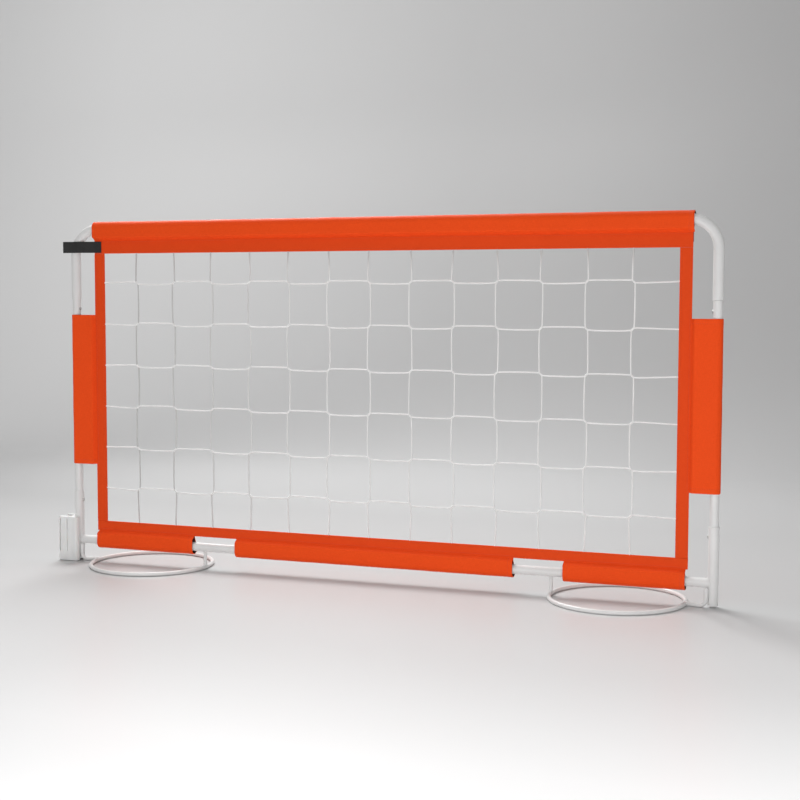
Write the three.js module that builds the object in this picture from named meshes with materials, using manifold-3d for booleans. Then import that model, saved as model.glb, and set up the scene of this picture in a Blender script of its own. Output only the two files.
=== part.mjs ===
// A free-standing goal panel for ice and floor sports: a knock-down tube frame on two ring feet,
// an orange fabric border that wraps the tubes, a square-mesh net, and a socket and a strap that
// link one panel to the next. Millimetres, +Z up. The panel faces -Y and stands on z = 0.

import * as THREE from "three";
import { mergeVertices } from "three/addons/utils/BufferGeometryUtils.js";
import Module from "manifold-3d";

const wasm = await Module();
wasm.setup();

// ---------------------------------------------------------------------------------------------
// Driving dimensions
// ---------------------------------------------------------------------------------------------

const gap = 0.3; // left between pieces that touch, are sewn or are welded together

const tubes = {
  postSpacing: 1488, // between the axes of the two posts
  cornerRadius: 11, // outside radius of the top corners and the lower legs
  postRadius: 9.5, // of the side posts, which slide into the lower legs
  railRadius: 10,
  wall: 1,
  sides: 16,
  bendSteps: 7,
  topAxisHeight: 784,
  railAxisHeight: 50,
  bendRadius: 60, // of the centre line at the top corners
  upperJointHeight: 620,
  lowerJointHeight: 166,
};

const spigot = {
  length: 48,
  clearance: 0.4, // between the spigot and the bore that it goes into
  shoulder: 3, // solid depth behind the step from tube to spigot
  lipHeight: 2,
  lipProud: 0.5,
};

const snap = {
  depth: 22, // of the button's axis below the joint line
  studRadius: 3.8,
  holeRadius: 4.2,
  flangeRadius: 4.8,
  flangeThickness: 1,
  proud: 2.4,
  springWidth: 7.2,
  springThickness: 0.6,
  springBelow: 7, // how far the leaf runs past the button
  springAbove: 10, // from the button's axis to where the fold starts
  sides: 12,
};

const legEnd = { height: 4, headHeight: 3, plugLength: 13, plugClearance: 0.35 };

const foot = {
  rodRadius: 4.5,
  rodSides: 8, // an even eighth of a turn each, so a flat faces the floor
  ringRadius: 140, // to the rod's centre line
  ringX: 548.5,
  ringSegments: 36,
  uprightRadius: 4,
  postSideX: 12.2, // from the post's axis to the outer rod's, towards the middle
  postSideY: -10.2,
  bendRadius: 14,
  bendSteps: 5,
  outerRodTop: 41,
  endTilt: 1.6, // extra gap for the outer rod's end face, which meets the ring at a slant
};

const fabric = {
  borderThickness: 4,
  sheet: 1.4,
  openingHalfWidth: 667,
  openingBottom: 97.2,
  openingTop: 726.4,
  outerHalfWidth: 693,
  outerBottom: 74.4,
  outerTop: 757.7,
  closureWidth: 18,
  closureThickness: 1.6,
};

const sleeves = {
  top: { centreHeight: 786, radius: 13.3, halfLength: 692.5 },
  side: { radius: 10.6, bottom: 231.8, top: 583.7 },
  bottom: { centreHeight: 46.2, radius: 13.8, centreHalf: 327, innerEnd: 436, outerEnd: 689 },
};

const net = { mesh: 96.3, columns: 13, rows: 6, centreX: -3.5, centreZ: 417.7, cord: 3.2 };

const strap = {
  width: 26,
  thickness: 2,
  bottom: 728.4,
  sewnEnd: -674,
  hingeX: -693,
  hingeGap: 1.3,
  freeEnd: -771,
  levelX: -734, // from here on the strap runs level across the post
  frontY: -12.7, // of the strap's middle where it passes the post
  patchWidth: 13,
  patchThickness: 1.5,
};

const socket = {
  left: -786.5,
  right: -736.5,
  front: -25,
  back: 20,
  coverBack: -12.4, // of the wall that stands in front of the panel's own post
  bottom: 1,
  height: 104,
  guestX: -773, // axis of the next panel's post
  channelHalfWidth: 11.6,
  channelEnd: -761.4,
  postClearance: 0.4,
  rodClearance: 0.8,
  frontWall: 3.5,
  slotWidth: 2.4,
  slotBottom: 22,
  slotTop: 100,
  tongueHalfWidth: 9.6, // from the guest axis to the middle of a slot
  backCornerRadius: 5,
  frontLeftRadius: 1.2,
  frontRightRadius: 8,
  screwHeights: [34, 84],
  screwRadius: 1.9,
  screwHeadRadius: 3.6,
  screwReach: 8.5, // past the channel's end wall
  screwSides: 12,
};

// ---------------------------------------------------------------------------------------------
// Worked out from them
// ---------------------------------------------------------------------------------------------

const postX = tubes.postSpacing / 2;
const cornerBore = tubes.cornerRadius - tubes.wall;
const postBore = tubes.postRadius - tubes.wall;
const postSpigotRadius = postBore - spigot.clearance;
const cornerSpigotRadius = cornerBore - spigot.clearance;
const railSpigotRadius = tubes.railRadius - tubes.wall - spigot.clearance;
const sleeveReach = postX + sleeves.side.radius + fabric.sheet / 2;
const footprintCentreX = (socket.left + sleeveReach) / 2;
const X = new THREE.Vector3(1, 0, 0);
const Y = new THREE.Vector3(0, 1, 0);
const Z = new THREE.Vector3(0, 0, 1);

// ---------------------------------------------------------------------------------------------
// Colours
// ---------------------------------------------------------------------------------------------

const finishes = {
  whiteTube: { color: 0xe4e4e2, roughness: 0.35, metalness: 0.1 },
  whitePlastic: { color: 0xe2e2e0, roughness: 0.5, metalness: 0 },
  orange: { color: 0xe8481a, roughness: 0.7, metalness: 0 },
  netCord: { color: 0xeeeeec, roughness: 0.8, metalness: 0 },
  black: { color: 0x2b2b2b, roughness: 0.85, metalness: 0 },
  steel: { color: 0xb4b6b8, roughness: 0.3, metalness: 0.9 },
};

// ---------------------------------------------------------------------------------------------
// Shared helpers
// ---------------------------------------------------------------------------------------------

function solid(geometry) {
  const bare = geometry.clone();
  bare.deleteAttribute("normal");
  bare.deleteAttribute("uv");
  const merged = mergeVertices(bare, 1e-4);
  return new wasm.Manifold(new wasm.Mesh({
    numProp: 3,
    vertProperties: new Float32Array(merged.attributes.position.array),
    triVerts: new Uint32Array(merged.index.array),
  }));
}

function geometryOf(manifold) {
  const { vertProperties, triVerts } = manifold.getMesh();
  const geometry = new THREE.BufferGeometry();
  geometry.setAttribute("position", new THREE.BufferAttribute(vertProperties, 3));
  geometry.setIndex(new THREE.BufferAttribute(triVerts, 1));
  geometry.computeVertexNormals();
  return geometry;
}

function piece(name, geometry, finish) {
  const mesh = new THREE.Mesh(geometry, new THREE.MeshStandardMaterial(finishes[finish]));
  mesh.name = name;
  return mesh;
}

function sideName(side) {
  return side < 0 ? "left" : "right";
}

function circlePoints(radius, sides) {
  const points = [];
  for (let i = 0; i < sides; i += 1) {
    const angle = ((i + 0.5) / sides) * 2 * Math.PI;
    points.push(new THREE.Vector2(radius * Math.cos(angle), radius * Math.sin(angle)));
  }
  return points;
}

// A round bar between two points.
function bar(radius, start, end, sides = tubes.sides) {
  const along = new THREE.Vector3().subVectors(end, start);
  const geometry = new THREE.CylinderGeometry(radius, radius, along.length(), sides);
  geometry.applyQuaternion(new THREE.Quaternion().setFromUnitVectors(Y, along.clone().normalize()));
  const middle = start.clone().add(end).multiplyScalar(0.5);
  return solid(geometry.translate(middle.x, middle.y, middle.z));
}

function uprightBar(radius, bottom, top, sides = tubes.sides) {
  return bar(radius, new THREE.Vector3(0, 0, bottom), new THREE.Vector3(0, 0, top), sides);
}

function block(x0, x1, y0, y1, z0, z1) {
  const geometry = new THREE.BoxGeometry(x1 - x0, y1 - y0, z1 - z0);
  return geometry.translate((x0 + x1) / 2, (y0 + y1) / 2, (z0 + z1) / 2);
}

// Straight, a quarter bend, straight: one step of a sweep for each straight, the rest in the bend.
class BentPath extends THREE.Curve {
  constructor(start, first, lead, radius, second, tail, bendSteps) {
    super();
    Object.assign(this, { start, first, lead, radius, second, tail, bendSteps });
    this.steps = bendSteps + 2;
  }

  getUtoTmapping(u) {
    return u;
  }

  getPoint(t, target = new THREE.Vector3()) {
    const step = t * this.steps;
    target.copy(this.start);
    if (step < 1) {
      return target.addScaledVector(this.first, this.lead * step);
    }
    const angle = (Math.min((step - 1) / this.bendSteps, 1) * Math.PI) / 2;
    target.addScaledVector(this.first, this.lead + this.radius * Math.sin(angle));
    target.addScaledVector(this.second, this.radius * (1 - Math.cos(angle)));
    return target.addScaledVector(this.second, this.tail * Math.max(step - this.steps + 1, 0));
  }
}

function sweep(radius, sides, path) {
  const section = new THREE.Shape(circlePoints(radius, sides));
  return new THREE.ExtrudeGeometry(section, { steps: path.steps, extrudePath: path });
}

// ---------------------------------------------------------------------------------------------
// Frame tubes. Each upper piece ends in a reduced spigot that drops into the mouth below it.
// ---------------------------------------------------------------------------------------------

// A tube on local Z from bottom to top. A spigot hangs below the bottom, and a lip rings the top.
function straightTube(radius, bottom, top, { hasSpigot, hasLip }) {
  const bore = radius - tubes.wall;
  let outside = uprightBar(radius, bottom, top);
  let inside = uprightBar(bore, hasSpigot ? bottom + spigot.shoulder : bottom - 1, top + 1);
  if (hasLip) {
    outside = outside.add(uprightBar(radius + spigot.lipProud, top - spigot.lipHeight, top));
  }
  if (hasSpigot) {
    const spigotRadius = bore - spigot.clearance;
    outside = outside.add(uprightBar(spigotRadius, bottom - spigot.length, bottom + 1));
    inside = inside.add(
      uprightBar(spigotRadius - tubes.wall, bottom - spigot.length - 1, bottom + spigot.shoulder + 1),
    );
  }
  return outside.subtract(inside);
}

// The hole that a snap button comes through, from the tube's axis out along a direction.
function buttonHole(height, direction) {
  const start = new THREE.Vector3(0, 0, height);
  const end = start.clone().addScaledVector(direction, tubes.cornerRadius + 4);
  return bar(snap.holeRadius, start, end, snap.sides);
}

// Half of the top rail with its rounded corner and the short leg below it, from the joint line.
// The left half has the spigot that the right half slides over.
function topCorner(side) {
  const inward = X.clone().multiplyScalar(-side);
  const bend = tubes.bendRadius;
  const rise = tubes.topAxisHeight - tubes.upperJointHeight - bend;
  const run = postX - bend - gap / 2;
  const start = new THREE.Vector3();
  const outerPath = new BentPath(start, Z, rise, bend, inward, run, tubes.bendSteps);
  const shoulderStart = Z.clone().multiplyScalar(spigot.shoulder);
  const boreRun = side > 0 ? run + 1 : run - spigot.shoulder;
  const borePath = new BentPath(
    shoulderStart, Z, rise - spigot.shoulder, bend, inward, boreRun, tubes.bendSteps,
  );
  let outside = solid(sweep(tubes.cornerRadius, tubes.sides, outerPath));
  let inside = solid(sweep(cornerBore, tubes.sides, borePath));
  outside = outside.add(uprightBar(postSpigotRadius, -spigot.length, 1));
  inside = inside.add(
    uprightBar(postSpigotRadius - tubes.wall, -spigot.length - 1, spigot.shoulder + 1),
  );
  const railCentre = outerPath.getPoint(1);
  const at = (distance) => railCentre.clone().addScaledVector(inward, distance);
  if (side < 0) {
    outside = outside.add(bar(cornerSpigotRadius, at(-1), at(spigot.length)));
    inside = inside.add(
      bar(cornerSpigotRadius - tubes.wall, at(-spigot.shoulder - 1), at(spigot.length + 1)),
    );
  } else {
    outside = outside.add(bar(tubes.cornerRadius + spigot.lipProud, at(-spigot.lipHeight), at(0)));
  }
  const buttonX = snap.depth - side * postX;
  const hole = bar(
    snap.holeRadius,
    new THREE.Vector3(buttonX, 0, railCentre.z),
    new THREE.Vector3(buttonX, 0, railCentre.z + tubes.cornerRadius + 4),
    snap.sides,
  );
  return outside.subtract(inside).subtract(buttonHole(-snap.depth, inward)).subtract(hole);
}

function addTopCorners(parent) {
  for (const side of [-1, 1]) {
    const corner = piece(`top_corner_${sideName(side)}`, geometryOf(topCorner(side)), "whiteTube");
    corner.position.set(side * postX, 0, tubes.upperJointHeight);
    parent.add(corner);
  }
}

// Each side post is a plain tube. Its lower end slides down into the lower leg.
function addSidePosts(parent) {
  const length = tubes.upperJointHeight - tubes.lowerJointHeight - gap;
  const ends = { hasSpigot: false, hasLip: false };
  for (const side of [-1, 1]) {
    const inward = X.clone().multiplyScalar(-side);
    const tube = straightTube(tubes.postRadius, -spigot.length, length, ends)
      .subtract(buttonHole(-snap.depth, inward))
      .subtract(buttonHole(length + gap - snap.depth, inward));
    const post = piece(`side_post_${sideName(side)}`, geometryOf(tube), "whiteTube");
    post.position.set(side * postX, 0, tubes.lowerJointHeight);
    parent.add(post);
  }
}

function addLowerLegs(parent) {
  const bottom = legEnd.height + legEnd.headHeight + gap;
  const top = tubes.lowerJointHeight - gap;
  for (const side of [-1, 1]) {
    const inward = X.clone().multiplyScalar(-side);
    let tube = straightTube(tubes.cornerRadius, bottom, top, { hasSpigot: false, hasLip: true })
      .subtract(buttonHole(tubes.lowerJointHeight - snap.depth, inward));
    if (side < 0) {
      for (const height of socket.screwHeights) {
        const start = new THREE.Vector3(0, 0, height);
        const end = new THREE.Vector3(-tubes.cornerRadius - 1, 0, height);
        tube = tube.subtract(bar(socket.screwRadius + gap, start, end, socket.screwSides));
      }
    }
    const leg = piece(`lower_leg_${sideName(side)}`, geometryOf(tube), "whiteTube");
    leg.position.x = side * postX;
    parent.add(leg);
  }
}

// The bottom rail's halves lie along X. Each is cut to a saddle where it is welded to its leg.
function addBottomRails(parent) {
  const saddleEnd = postX - tubes.cornerRadius / 2;
  for (const side of [-1, 1]) {
    const isMale = side < 0;
    const bottom = isMale ? 0 : -saddleEnd;
    const top = isMale ? saddleEnd : -gap;
    const saddleHeight = isMale ? postX : -postX;
    const down = X.clone().negate();
    let tube = straightTube(tubes.railRadius, bottom, top, { hasSpigot: isMale, hasLip: !isMale });
    const saddleStart = new THREE.Vector3(-30, 0, saddleHeight);
    const saddle = bar(tubes.cornerRadius + gap, saddleStart, saddleStart.clone().setX(30));
    tube = tube.subtract(saddle).subtract(buttonHole(-snap.depth, down));
    const rail = piece(`bottom_rail_${sideName(side)}`, geometryOf(tube), "whiteTube");
    rail.rotation.y = -Math.PI / 2;
    rail.position.z = tubes.railAxisHeight;
    parent.add(rail);
  }
}

function addLegEndCaps(parent) {
  const head = tubes.cornerRadius;
  const plug = cornerBore - legEnd.plugClearance;
  const top = legEnd.headHeight + legEnd.plugLength;
  const profile = [
    new THREE.Vector2(0, 0),
    new THREE.Vector2(head - 0.8, 0),
    new THREE.Vector2(head, 0.8),
    new THREE.Vector2(head, legEnd.headHeight),
    new THREE.Vector2(plug, legEnd.headHeight),
    new THREE.Vector2(plug - 0.6, top),
    new THREE.Vector2(0, top),
  ];
  for (const side of [-1, 1]) {
    const geometry = new THREE.LatheGeometry(profile, tubes.sides);
    const cap = piece(`leg_end_cap_${sideName(side)}`, geometry, "whitePlastic");
    cap.rotation.x = Math.PI / 2;
    cap.position.set(side * postX, 0, legEnd.height);
    parent.add(cap);
  }
}

// ---------------------------------------------------------------------------------------------
// Snap buttons. In each joint's own frame the inner tube points down -Z, the button faces +X.
// ---------------------------------------------------------------------------------------------

// From the inner tube's bore and the radius of the outer tube that the button comes through.
function snapSizes(bore, outerRadius) {
  const flangeFace = Math.sqrt(bore ** 2 - snap.flangeRadius ** 2) - 0.5;
  const leafFace = flangeFace - snap.flangeThickness - gap;
  const farFace = -(Math.sqrt(bore ** 2 - (snap.springWidth / 2) ** 2) - 0.4);
  return { flangeFace, leafFace, farFace, tip: outerRadius + snap.proud };
}

function snapButton(name, bore, outerRadius) {
  const { flangeFace, tip } = snapSizes(bore, outerRadius);
  const edge = 1.6;
  const profile = [
    new THREE.Vector2(0, flangeFace - snap.flangeThickness),
    new THREE.Vector2(snap.flangeRadius, flangeFace - snap.flangeThickness),
    new THREE.Vector2(snap.flangeRadius, flangeFace),
    new THREE.Vector2(snap.studRadius, flangeFace),
    new THREE.Vector2(snap.studRadius, tip - edge),
    new THREE.Vector2(snap.studRadius - 0.5, tip - edge / 3),
    new THREE.Vector2(snap.studRadius - 1.6, tip),
    new THREE.Vector2(0, tip),
  ];
  const button = piece(name, new THREE.LatheGeometry(profile, snap.sides), "steel");
  button.rotation.z = -Math.PI / 2;
  button.position.z = -snap.depth;
  return button;
}

// A leaf spring folded over on itself: one leaf behind the button, the other on the far wall.
function snapSpring(name, bore, outerRadius) {
  const { leafFace, farFace } = snapSizes(bore, outerRadius);
  const t = snap.springThickness;
  const low = -snap.depth - snap.springBelow;
  const foldCentre = new THREE.Vector2((leafFace + farFace) / 2, -snap.depth + snap.springAbove);
  const foldRadius = (leafFace - farFace) / 2;
  const outline = [new THREE.Vector2(leafFace, low)];
  for (let i = 0; i <= 6; i += 1) {
    const angle = (i / 6) * Math.PI;
    outline.push(new THREE.Vector2(
      foldCentre.x + foldRadius * Math.cos(angle), foldCentre.y + foldRadius * Math.sin(angle),
    ));
  }
  outline.push(new THREE.Vector2(farFace, low + 4));
  outline.push(new THREE.Vector2(farFace + t, low + 4));
  for (let i = 6; i >= 0; i -= 1) {
    const angle = (i / 6) * Math.PI;
    outline.push(new THREE.Vector2(
      foldCentre.x + (foldRadius - t) * Math.cos(angle),
      foldCentre.y + (foldRadius - t) * Math.sin(angle),
    ));
  }
  outline.push(new THREE.Vector2(leafFace - t, low));
  const section = new THREE.Shape(outline);
  const geometry = new THREE.ExtrudeGeometry(section, { depth: snap.springWidth, bevelEnabled: false });
  const spring = piece(name, geometry.translate(0, 0, -snap.springWidth / 2), "steel");
  spring.rotation.x = Math.PI / 2;
  return spring;
}

// The inner tube's bore and the outer tube's radius come in `radii`.
function addSnapJoint(parent, name, radii, place, spigotDirection, buttonDirection) {
  const [bore, outerRadius] = radii;
  const joint = new THREE.Group();
  const up = spigotDirection.clone().negate();
  const across = new THREE.Vector3().crossVectors(up, buttonDirection);
  const basis = new THREE.Matrix4().makeBasis(buttonDirection, across, up);
  joint.quaternion.setFromRotationMatrix(basis);
  joint.position.copy(place);
  joint.add(snapButton(`${name}_snap_button`, bore, outerRadius));
  joint.add(snapSpring(`${name}_button_spring`, bore, outerRadius));
  parent.add(joint);
}

function addSnapJoints(parent) {
  const down = Z.clone().negate();
  const upperRadii = [postSpigotRadius - tubes.wall, tubes.postRadius];
  const lowerRadii = [postBore, tubes.cornerRadius];
  const topRadii = [cornerSpigotRadius - tubes.wall, tubes.cornerRadius];
  const bottomRadii = [railSpigotRadius - tubes.wall, tubes.railRadius];
  for (const side of [-1, 1]) {
    const inward = X.clone().multiplyScalar(-side);
    const upper = new THREE.Vector3(side * postX, 0, tubes.upperJointHeight);
    const lower = new THREE.Vector3(side * postX, 0, tubes.lowerJointHeight);
    addSnapJoint(parent, `upper_${sideName(side)}`, upperRadii, upper, down, inward);
    addSnapJoint(parent, `lower_${sideName(side)}`, lowerRadii, lower, down, inward);
  }
  const top = new THREE.Vector3(0, 0, tubes.topAxisHeight);
  const bottom = new THREE.Vector3(0, 0, tubes.railAxisHeight);
  addSnapJoint(parent, "top_rail", topRadii, top, X, Z);
  addSnapJoint(parent, "bottom_rail", bottomRadii, bottom, X, down);
}

// ---------------------------------------------------------------------------------------------
// Ring feet: a ring flat on the floor, an upright under the rail, and a rod up beside the post.
// ---------------------------------------------------------------------------------------------

function addRingFeet(parent) {
  const cornerRadius = foot.rodRadius / Math.cos(Math.PI / foot.rodSides);
  const profile = circlePoints(cornerRadius, foot.rodSides).map(
    (point) => new THREE.Vector2(foot.ringRadius + point.x, point.y),
  );
  profile.push(profile[0].clone());
  for (const side of [-1, 1]) {
    const place = new THREE.Vector3(side * foot.ringX, 0, foot.rodRadius);
    const ringGeometry = new THREE.LatheGeometry(profile, foot.ringSegments);
    const ring = piece(`foot_ring_${sideName(side)}`, ringGeometry, "whiteTube");
    ring.rotation.x = Math.PI / 2;
    ring.position.copy(place);
    parent.add(ring);

    const uprightX = side * (foot.ringX - foot.ringRadius);
    const uprightTop = tubes.railAxisHeight - tubes.railRadius - gap;
    const uprightBottom = 2 * foot.rodRadius + gap;
    const upright = uprightBar(foot.uprightRadius, uprightBottom, uprightTop, foot.rodSides);
    const inner = piece(`foot_upright_${sideName(side)}`, geometryOf(upright), "whiteTube");
    inner.position.x = uprightX;
    parent.add(inner);

    const top = new THREE.Vector3(
      side * (postX - foot.postSideX), foot.postSideY, foot.outerRodTop,
    );
    const ringSide = side * (foot.ringX + foot.ringRadius + foot.rodRadius + foot.endTilt);
    const floorEnd = new THREE.Vector3(ringSide, 0, foot.rodRadius);
    const away = floorEnd.clone().sub(top).setZ(0);
    const tail = away.length() - foot.bendRadius;
    const lead = foot.outerRodTop - foot.rodRadius - foot.bendRadius;
    const down = Z.clone().negate();
    const path = new BentPath(
      new THREE.Vector3(), down, lead, foot.bendRadius, away.normalize(), tail, foot.bendSteps,
    );
    const rod = sweep(foot.rodRadius, foot.rodSides, path);
    const outer = piece(`foot_outer_rod_${sideName(side)}`, rod, "whiteTube");
    outer.position.copy(top);
    parent.add(outer);
  }
}

// ---------------------------------------------------------------------------------------------
// Fabric: four border strips round the net, and sleeves that wrap the tubes and close behind.
// ---------------------------------------------------------------------------------------------

function addBorder(parent) {
  const half = fabric.borderThickness / 2;
  const outer = fabric.outerHalfWidth;
  const inner = fabric.openingHalfWidth;
  const strips = [
    ["border_top", [-outer, outer, -half, half, fabric.openingTop, fabric.outerTop]],
    ["border_bottom", [-outer, outer, -half, half, fabric.outerBottom, fabric.openingBottom]],
    ["border_left", [-outer, -inner, -half, half, fabric.openingBottom + gap, fabric.openingTop - gap]],
    ["border_right", [inner, outer, -half, half, fabric.openingBottom + gap, fabric.openingTop - gap]],
  ];
  for (const [name, corners] of strips) {
    parent.add(piece(name, block(...corners), "orange"));
  }
}

// The middle line of a sheet that leaves start, goes round a circle and comes back to finish.
function wrapLine(start, centre, radius, finish, segments) {
  const tangentAngle = (point, turn) => {
    const offset = point.clone().sub(centre);
    return offset.angle() + turn * Math.acos(radius / offset.length());
  };
  let from = tangentAngle(start, 1);
  let to = tangentAngle(finish, -1);
  while (to < from) {
    to += 2 * Math.PI;
  }
  while (to - from > 2 * Math.PI) {
    to -= 2 * Math.PI;
  }
  const line = [start];
  for (let i = 0; i <= segments; i += 1) {
    const angle = from + ((to - from) * i) / segments;
    line.push(new THREE.Vector2(
      centre.x + radius * Math.cos(angle), centre.y + radius * Math.sin(angle),
    ));
  }
  line.push(finish);
  return line;
}

// A sheet's section: its middle line, offset to both sides by half its thickness.
function sheetShape(line, thickness) {
  const near = [];
  const far = [];
  line.forEach((point, i) => {
    const before = line[Math.max(i - 1, 0)];
    const after = line[Math.min(i + 1, line.length - 1)];
    const along = after.clone().sub(before).normalize();
    const across = new THREE.Vector2(-along.y, along.x).multiplyScalar(thickness / 2);
    near.push(point.clone().add(across));
    far.unshift(point.clone().sub(across));
  });
  return new THREE.Shape([...near, ...far]);
}

// Sleeve sections lie in a plane whose first axis points away from the net and second along +Y.
// Zero on the first axis is the border's outer edge.
function sleeveGeometry(reach, radius, length) {
  const sheet = fabric.sheet;
  const backY = fabric.borderThickness / 2 + gap + fabric.closureThickness + gap + sheet / 2;
  const start = new THREE.Vector2(gap + 0.2, -fabric.borderThickness / 2 + sheet / 2);
  const centre = new THREE.Vector2(reach, 0);
  const knee = new THREE.Vector2(0, backY);
  const line = wrapLine(start, centre, radius, knee, 14);
  line.push(new THREE.Vector2(-fabric.closureWidth - 2, backY));
  const geometry = new THREE.ExtrudeGeometry(
    sheetShape(line, sheet), { depth: length, bevelEnabled: false },
  );
  return geometry.translate(0, 0, -length / 2);
}

function closureGeometry(length) {
  const back = fabric.borderThickness / 2 + gap;
  const inner = -fabric.closureWidth;
  return block(inner, -1, back, back + fabric.closureThickness, -length / 2 + 3, length / 2 - 3);
}

function addSleeve(parent, name, outward, edge, reach, radius, length) {
  const wrap = new THREE.Group();
  const along = new THREE.Vector3().crossVectors(outward, Y);
  wrap.quaternion.setFromRotationMatrix(new THREE.Matrix4().makeBasis(outward, Y, along));
  wrap.position.copy(edge);
  wrap.add(piece(`${name}_sleeve`, sleeveGeometry(reach, radius, length), "orange"));
  wrap.add(piece(`${name}_sleeve_closure`, closureGeometry(length), "black"));
  parent.add(wrap);
}

function addSleeves(parent) {
  const { top, side, bottom } = sleeves;
  const down = Z.clone().negate();
  const topEdge = new THREE.Vector3(0, 0, fabric.outerTop);
  addSleeve(parent, "top", Z, topEdge, top.centreHeight - fabric.outerTop, top.radius, 2 * top.halfLength);

  for (const direction of [-1, 1]) {
    const outward = X.clone().multiplyScalar(direction);
    const height = (side.bottom + side.top) / 2;
    const edge = new THREE.Vector3(direction * fabric.outerHalfWidth, 0, height);
    const reach = postX - fabric.outerHalfWidth;
    addSleeve(parent, sideName(direction), outward, edge, reach, side.radius, side.top - side.bottom);
  }

  const reach = fabric.outerBottom - bottom.centreHeight;
  const spans = [
    ["bottom_left", -bottom.outerEnd, -bottom.innerEnd],
    ["bottom_centre", -bottom.centreHalf, bottom.centreHalf],
    ["bottom_right", bottom.innerEnd, bottom.outerEnd],
  ];
  for (const [name, x0, x1] of spans) {
    const edge = new THREE.Vector3((x0 + x1) / 2, 0, fabric.outerBottom);
    addSleeve(parent, name, down, edge, reach, bottom.radius, x1 - x0);
  }
}

function addNet(parent) {
  const half = net.cord / 2;
  const right = fabric.openingHalfWidth - gap;
  const bottom = fabric.openingBottom + gap;
  const top = fabric.openingTop - gap;
  const cords = [];
  for (let i = 0; i < net.columns; i += 1) {
    const x = net.centreX + (i - (net.columns - 1) / 2) * net.mesh;
    cords.push(solid(block(x - half, x + half, -half, half, bottom, top)));
  }
  for (let j = 0; j < net.rows; j += 1) {
    const z = net.centreZ + (j - (net.rows - 1) / 2) * net.mesh;
    cords.push(solid(block(-right, right, -half, half, z - half, z + half)));
  }
  parent.add(piece("net", geometryOf(wasm.Manifold.union(cords)), "netCord"));
}

// ---------------------------------------------------------------------------------------------
// Linking strap: sewn to the border's corner, its free part swings forward from the seam.
// ---------------------------------------------------------------------------------------------

function addStrap(parent) {
  const sewnY = -fabric.borderThickness / 2 - gap - strap.thickness / 2;
  const top = strap.bottom + strap.width;
  const anchor = block(
    strap.hingeX + strap.hingeGap, strap.sewnEnd,
    sewnY - strap.thickness / 2, sewnY + strap.thickness / 2, strap.bottom, top,
  );
  parent.add(piece("link_strap_anchor", anchor, "black"));

  const line = [
    new THREE.Vector2(strap.hingeX - strap.hingeGap, sewnY),
    new THREE.Vector2(strap.hingeX - 7, sewnY - 2.2),
    new THREE.Vector2(strap.levelX + 12, strap.frontY + 1.2),
    new THREE.Vector2(strap.levelX, strap.frontY),
    new THREE.Vector2(strap.freeEnd, strap.frontY),
  ];
  const options = { depth: strap.width, bevelEnabled: false };
  const band = new THREE.ExtrudeGeometry(sheetShape(line, strap.thickness), options);
  const free = piece("link_strap", band, "black");
  free.position.z = strap.bottom;
  parent.add(free);

  const patchBack = strap.frontY + strap.thickness / 2 + gap;
  const patch = block(
    strap.freeEnd + 1, strap.freeEnd + 1 + strap.patchWidth,
    patchBack, patchBack + strap.patchThickness, strap.bottom + 1, top - 1,
  );
  parent.add(piece("link_strap_hook_patch", patch, "black"));
}

// ---------------------------------------------------------------------------------------------
// Linking socket: a moulding screwed to the left leg. The next panel's post enters its channel
// from the left, and the tongue between the two slots presses on it from the front.
// ---------------------------------------------------------------------------------------------

function socketBlock() {
  const { left, right, front, back, coverBack } = socket;
  const [backLeft, frontLeft, frontRight] = [
    socket.backCornerRadius, socket.frontLeftRadius, socket.frontRightRadius,
  ];
  const shape = new THREE.Shape();
  shape.moveTo(left + frontLeft, front);
  shape.lineTo(right - frontRight, front);
  shape.absarc(right - frontRight, front + frontRight, frontRight, -Math.PI / 2, 0, false);
  shape.lineTo(right, coverBack);
  shape.lineTo(-postX, coverBack);
  shape.lineTo(-postX, back);
  shape.lineTo(left + backLeft, back);
  shape.absarc(left + backLeft, back - backLeft, backLeft, Math.PI / 2, Math.PI, false);
  shape.absarc(left + frontLeft, front + frontLeft, frontLeft, Math.PI, 1.5 * Math.PI, false);
  const options = { depth: socket.height, bevelEnabled: false, curveSegments: 5 };
  return solid(new THREE.ExtrudeGeometry(shape, options).translate(0, 0, socket.bottom));
}

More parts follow.
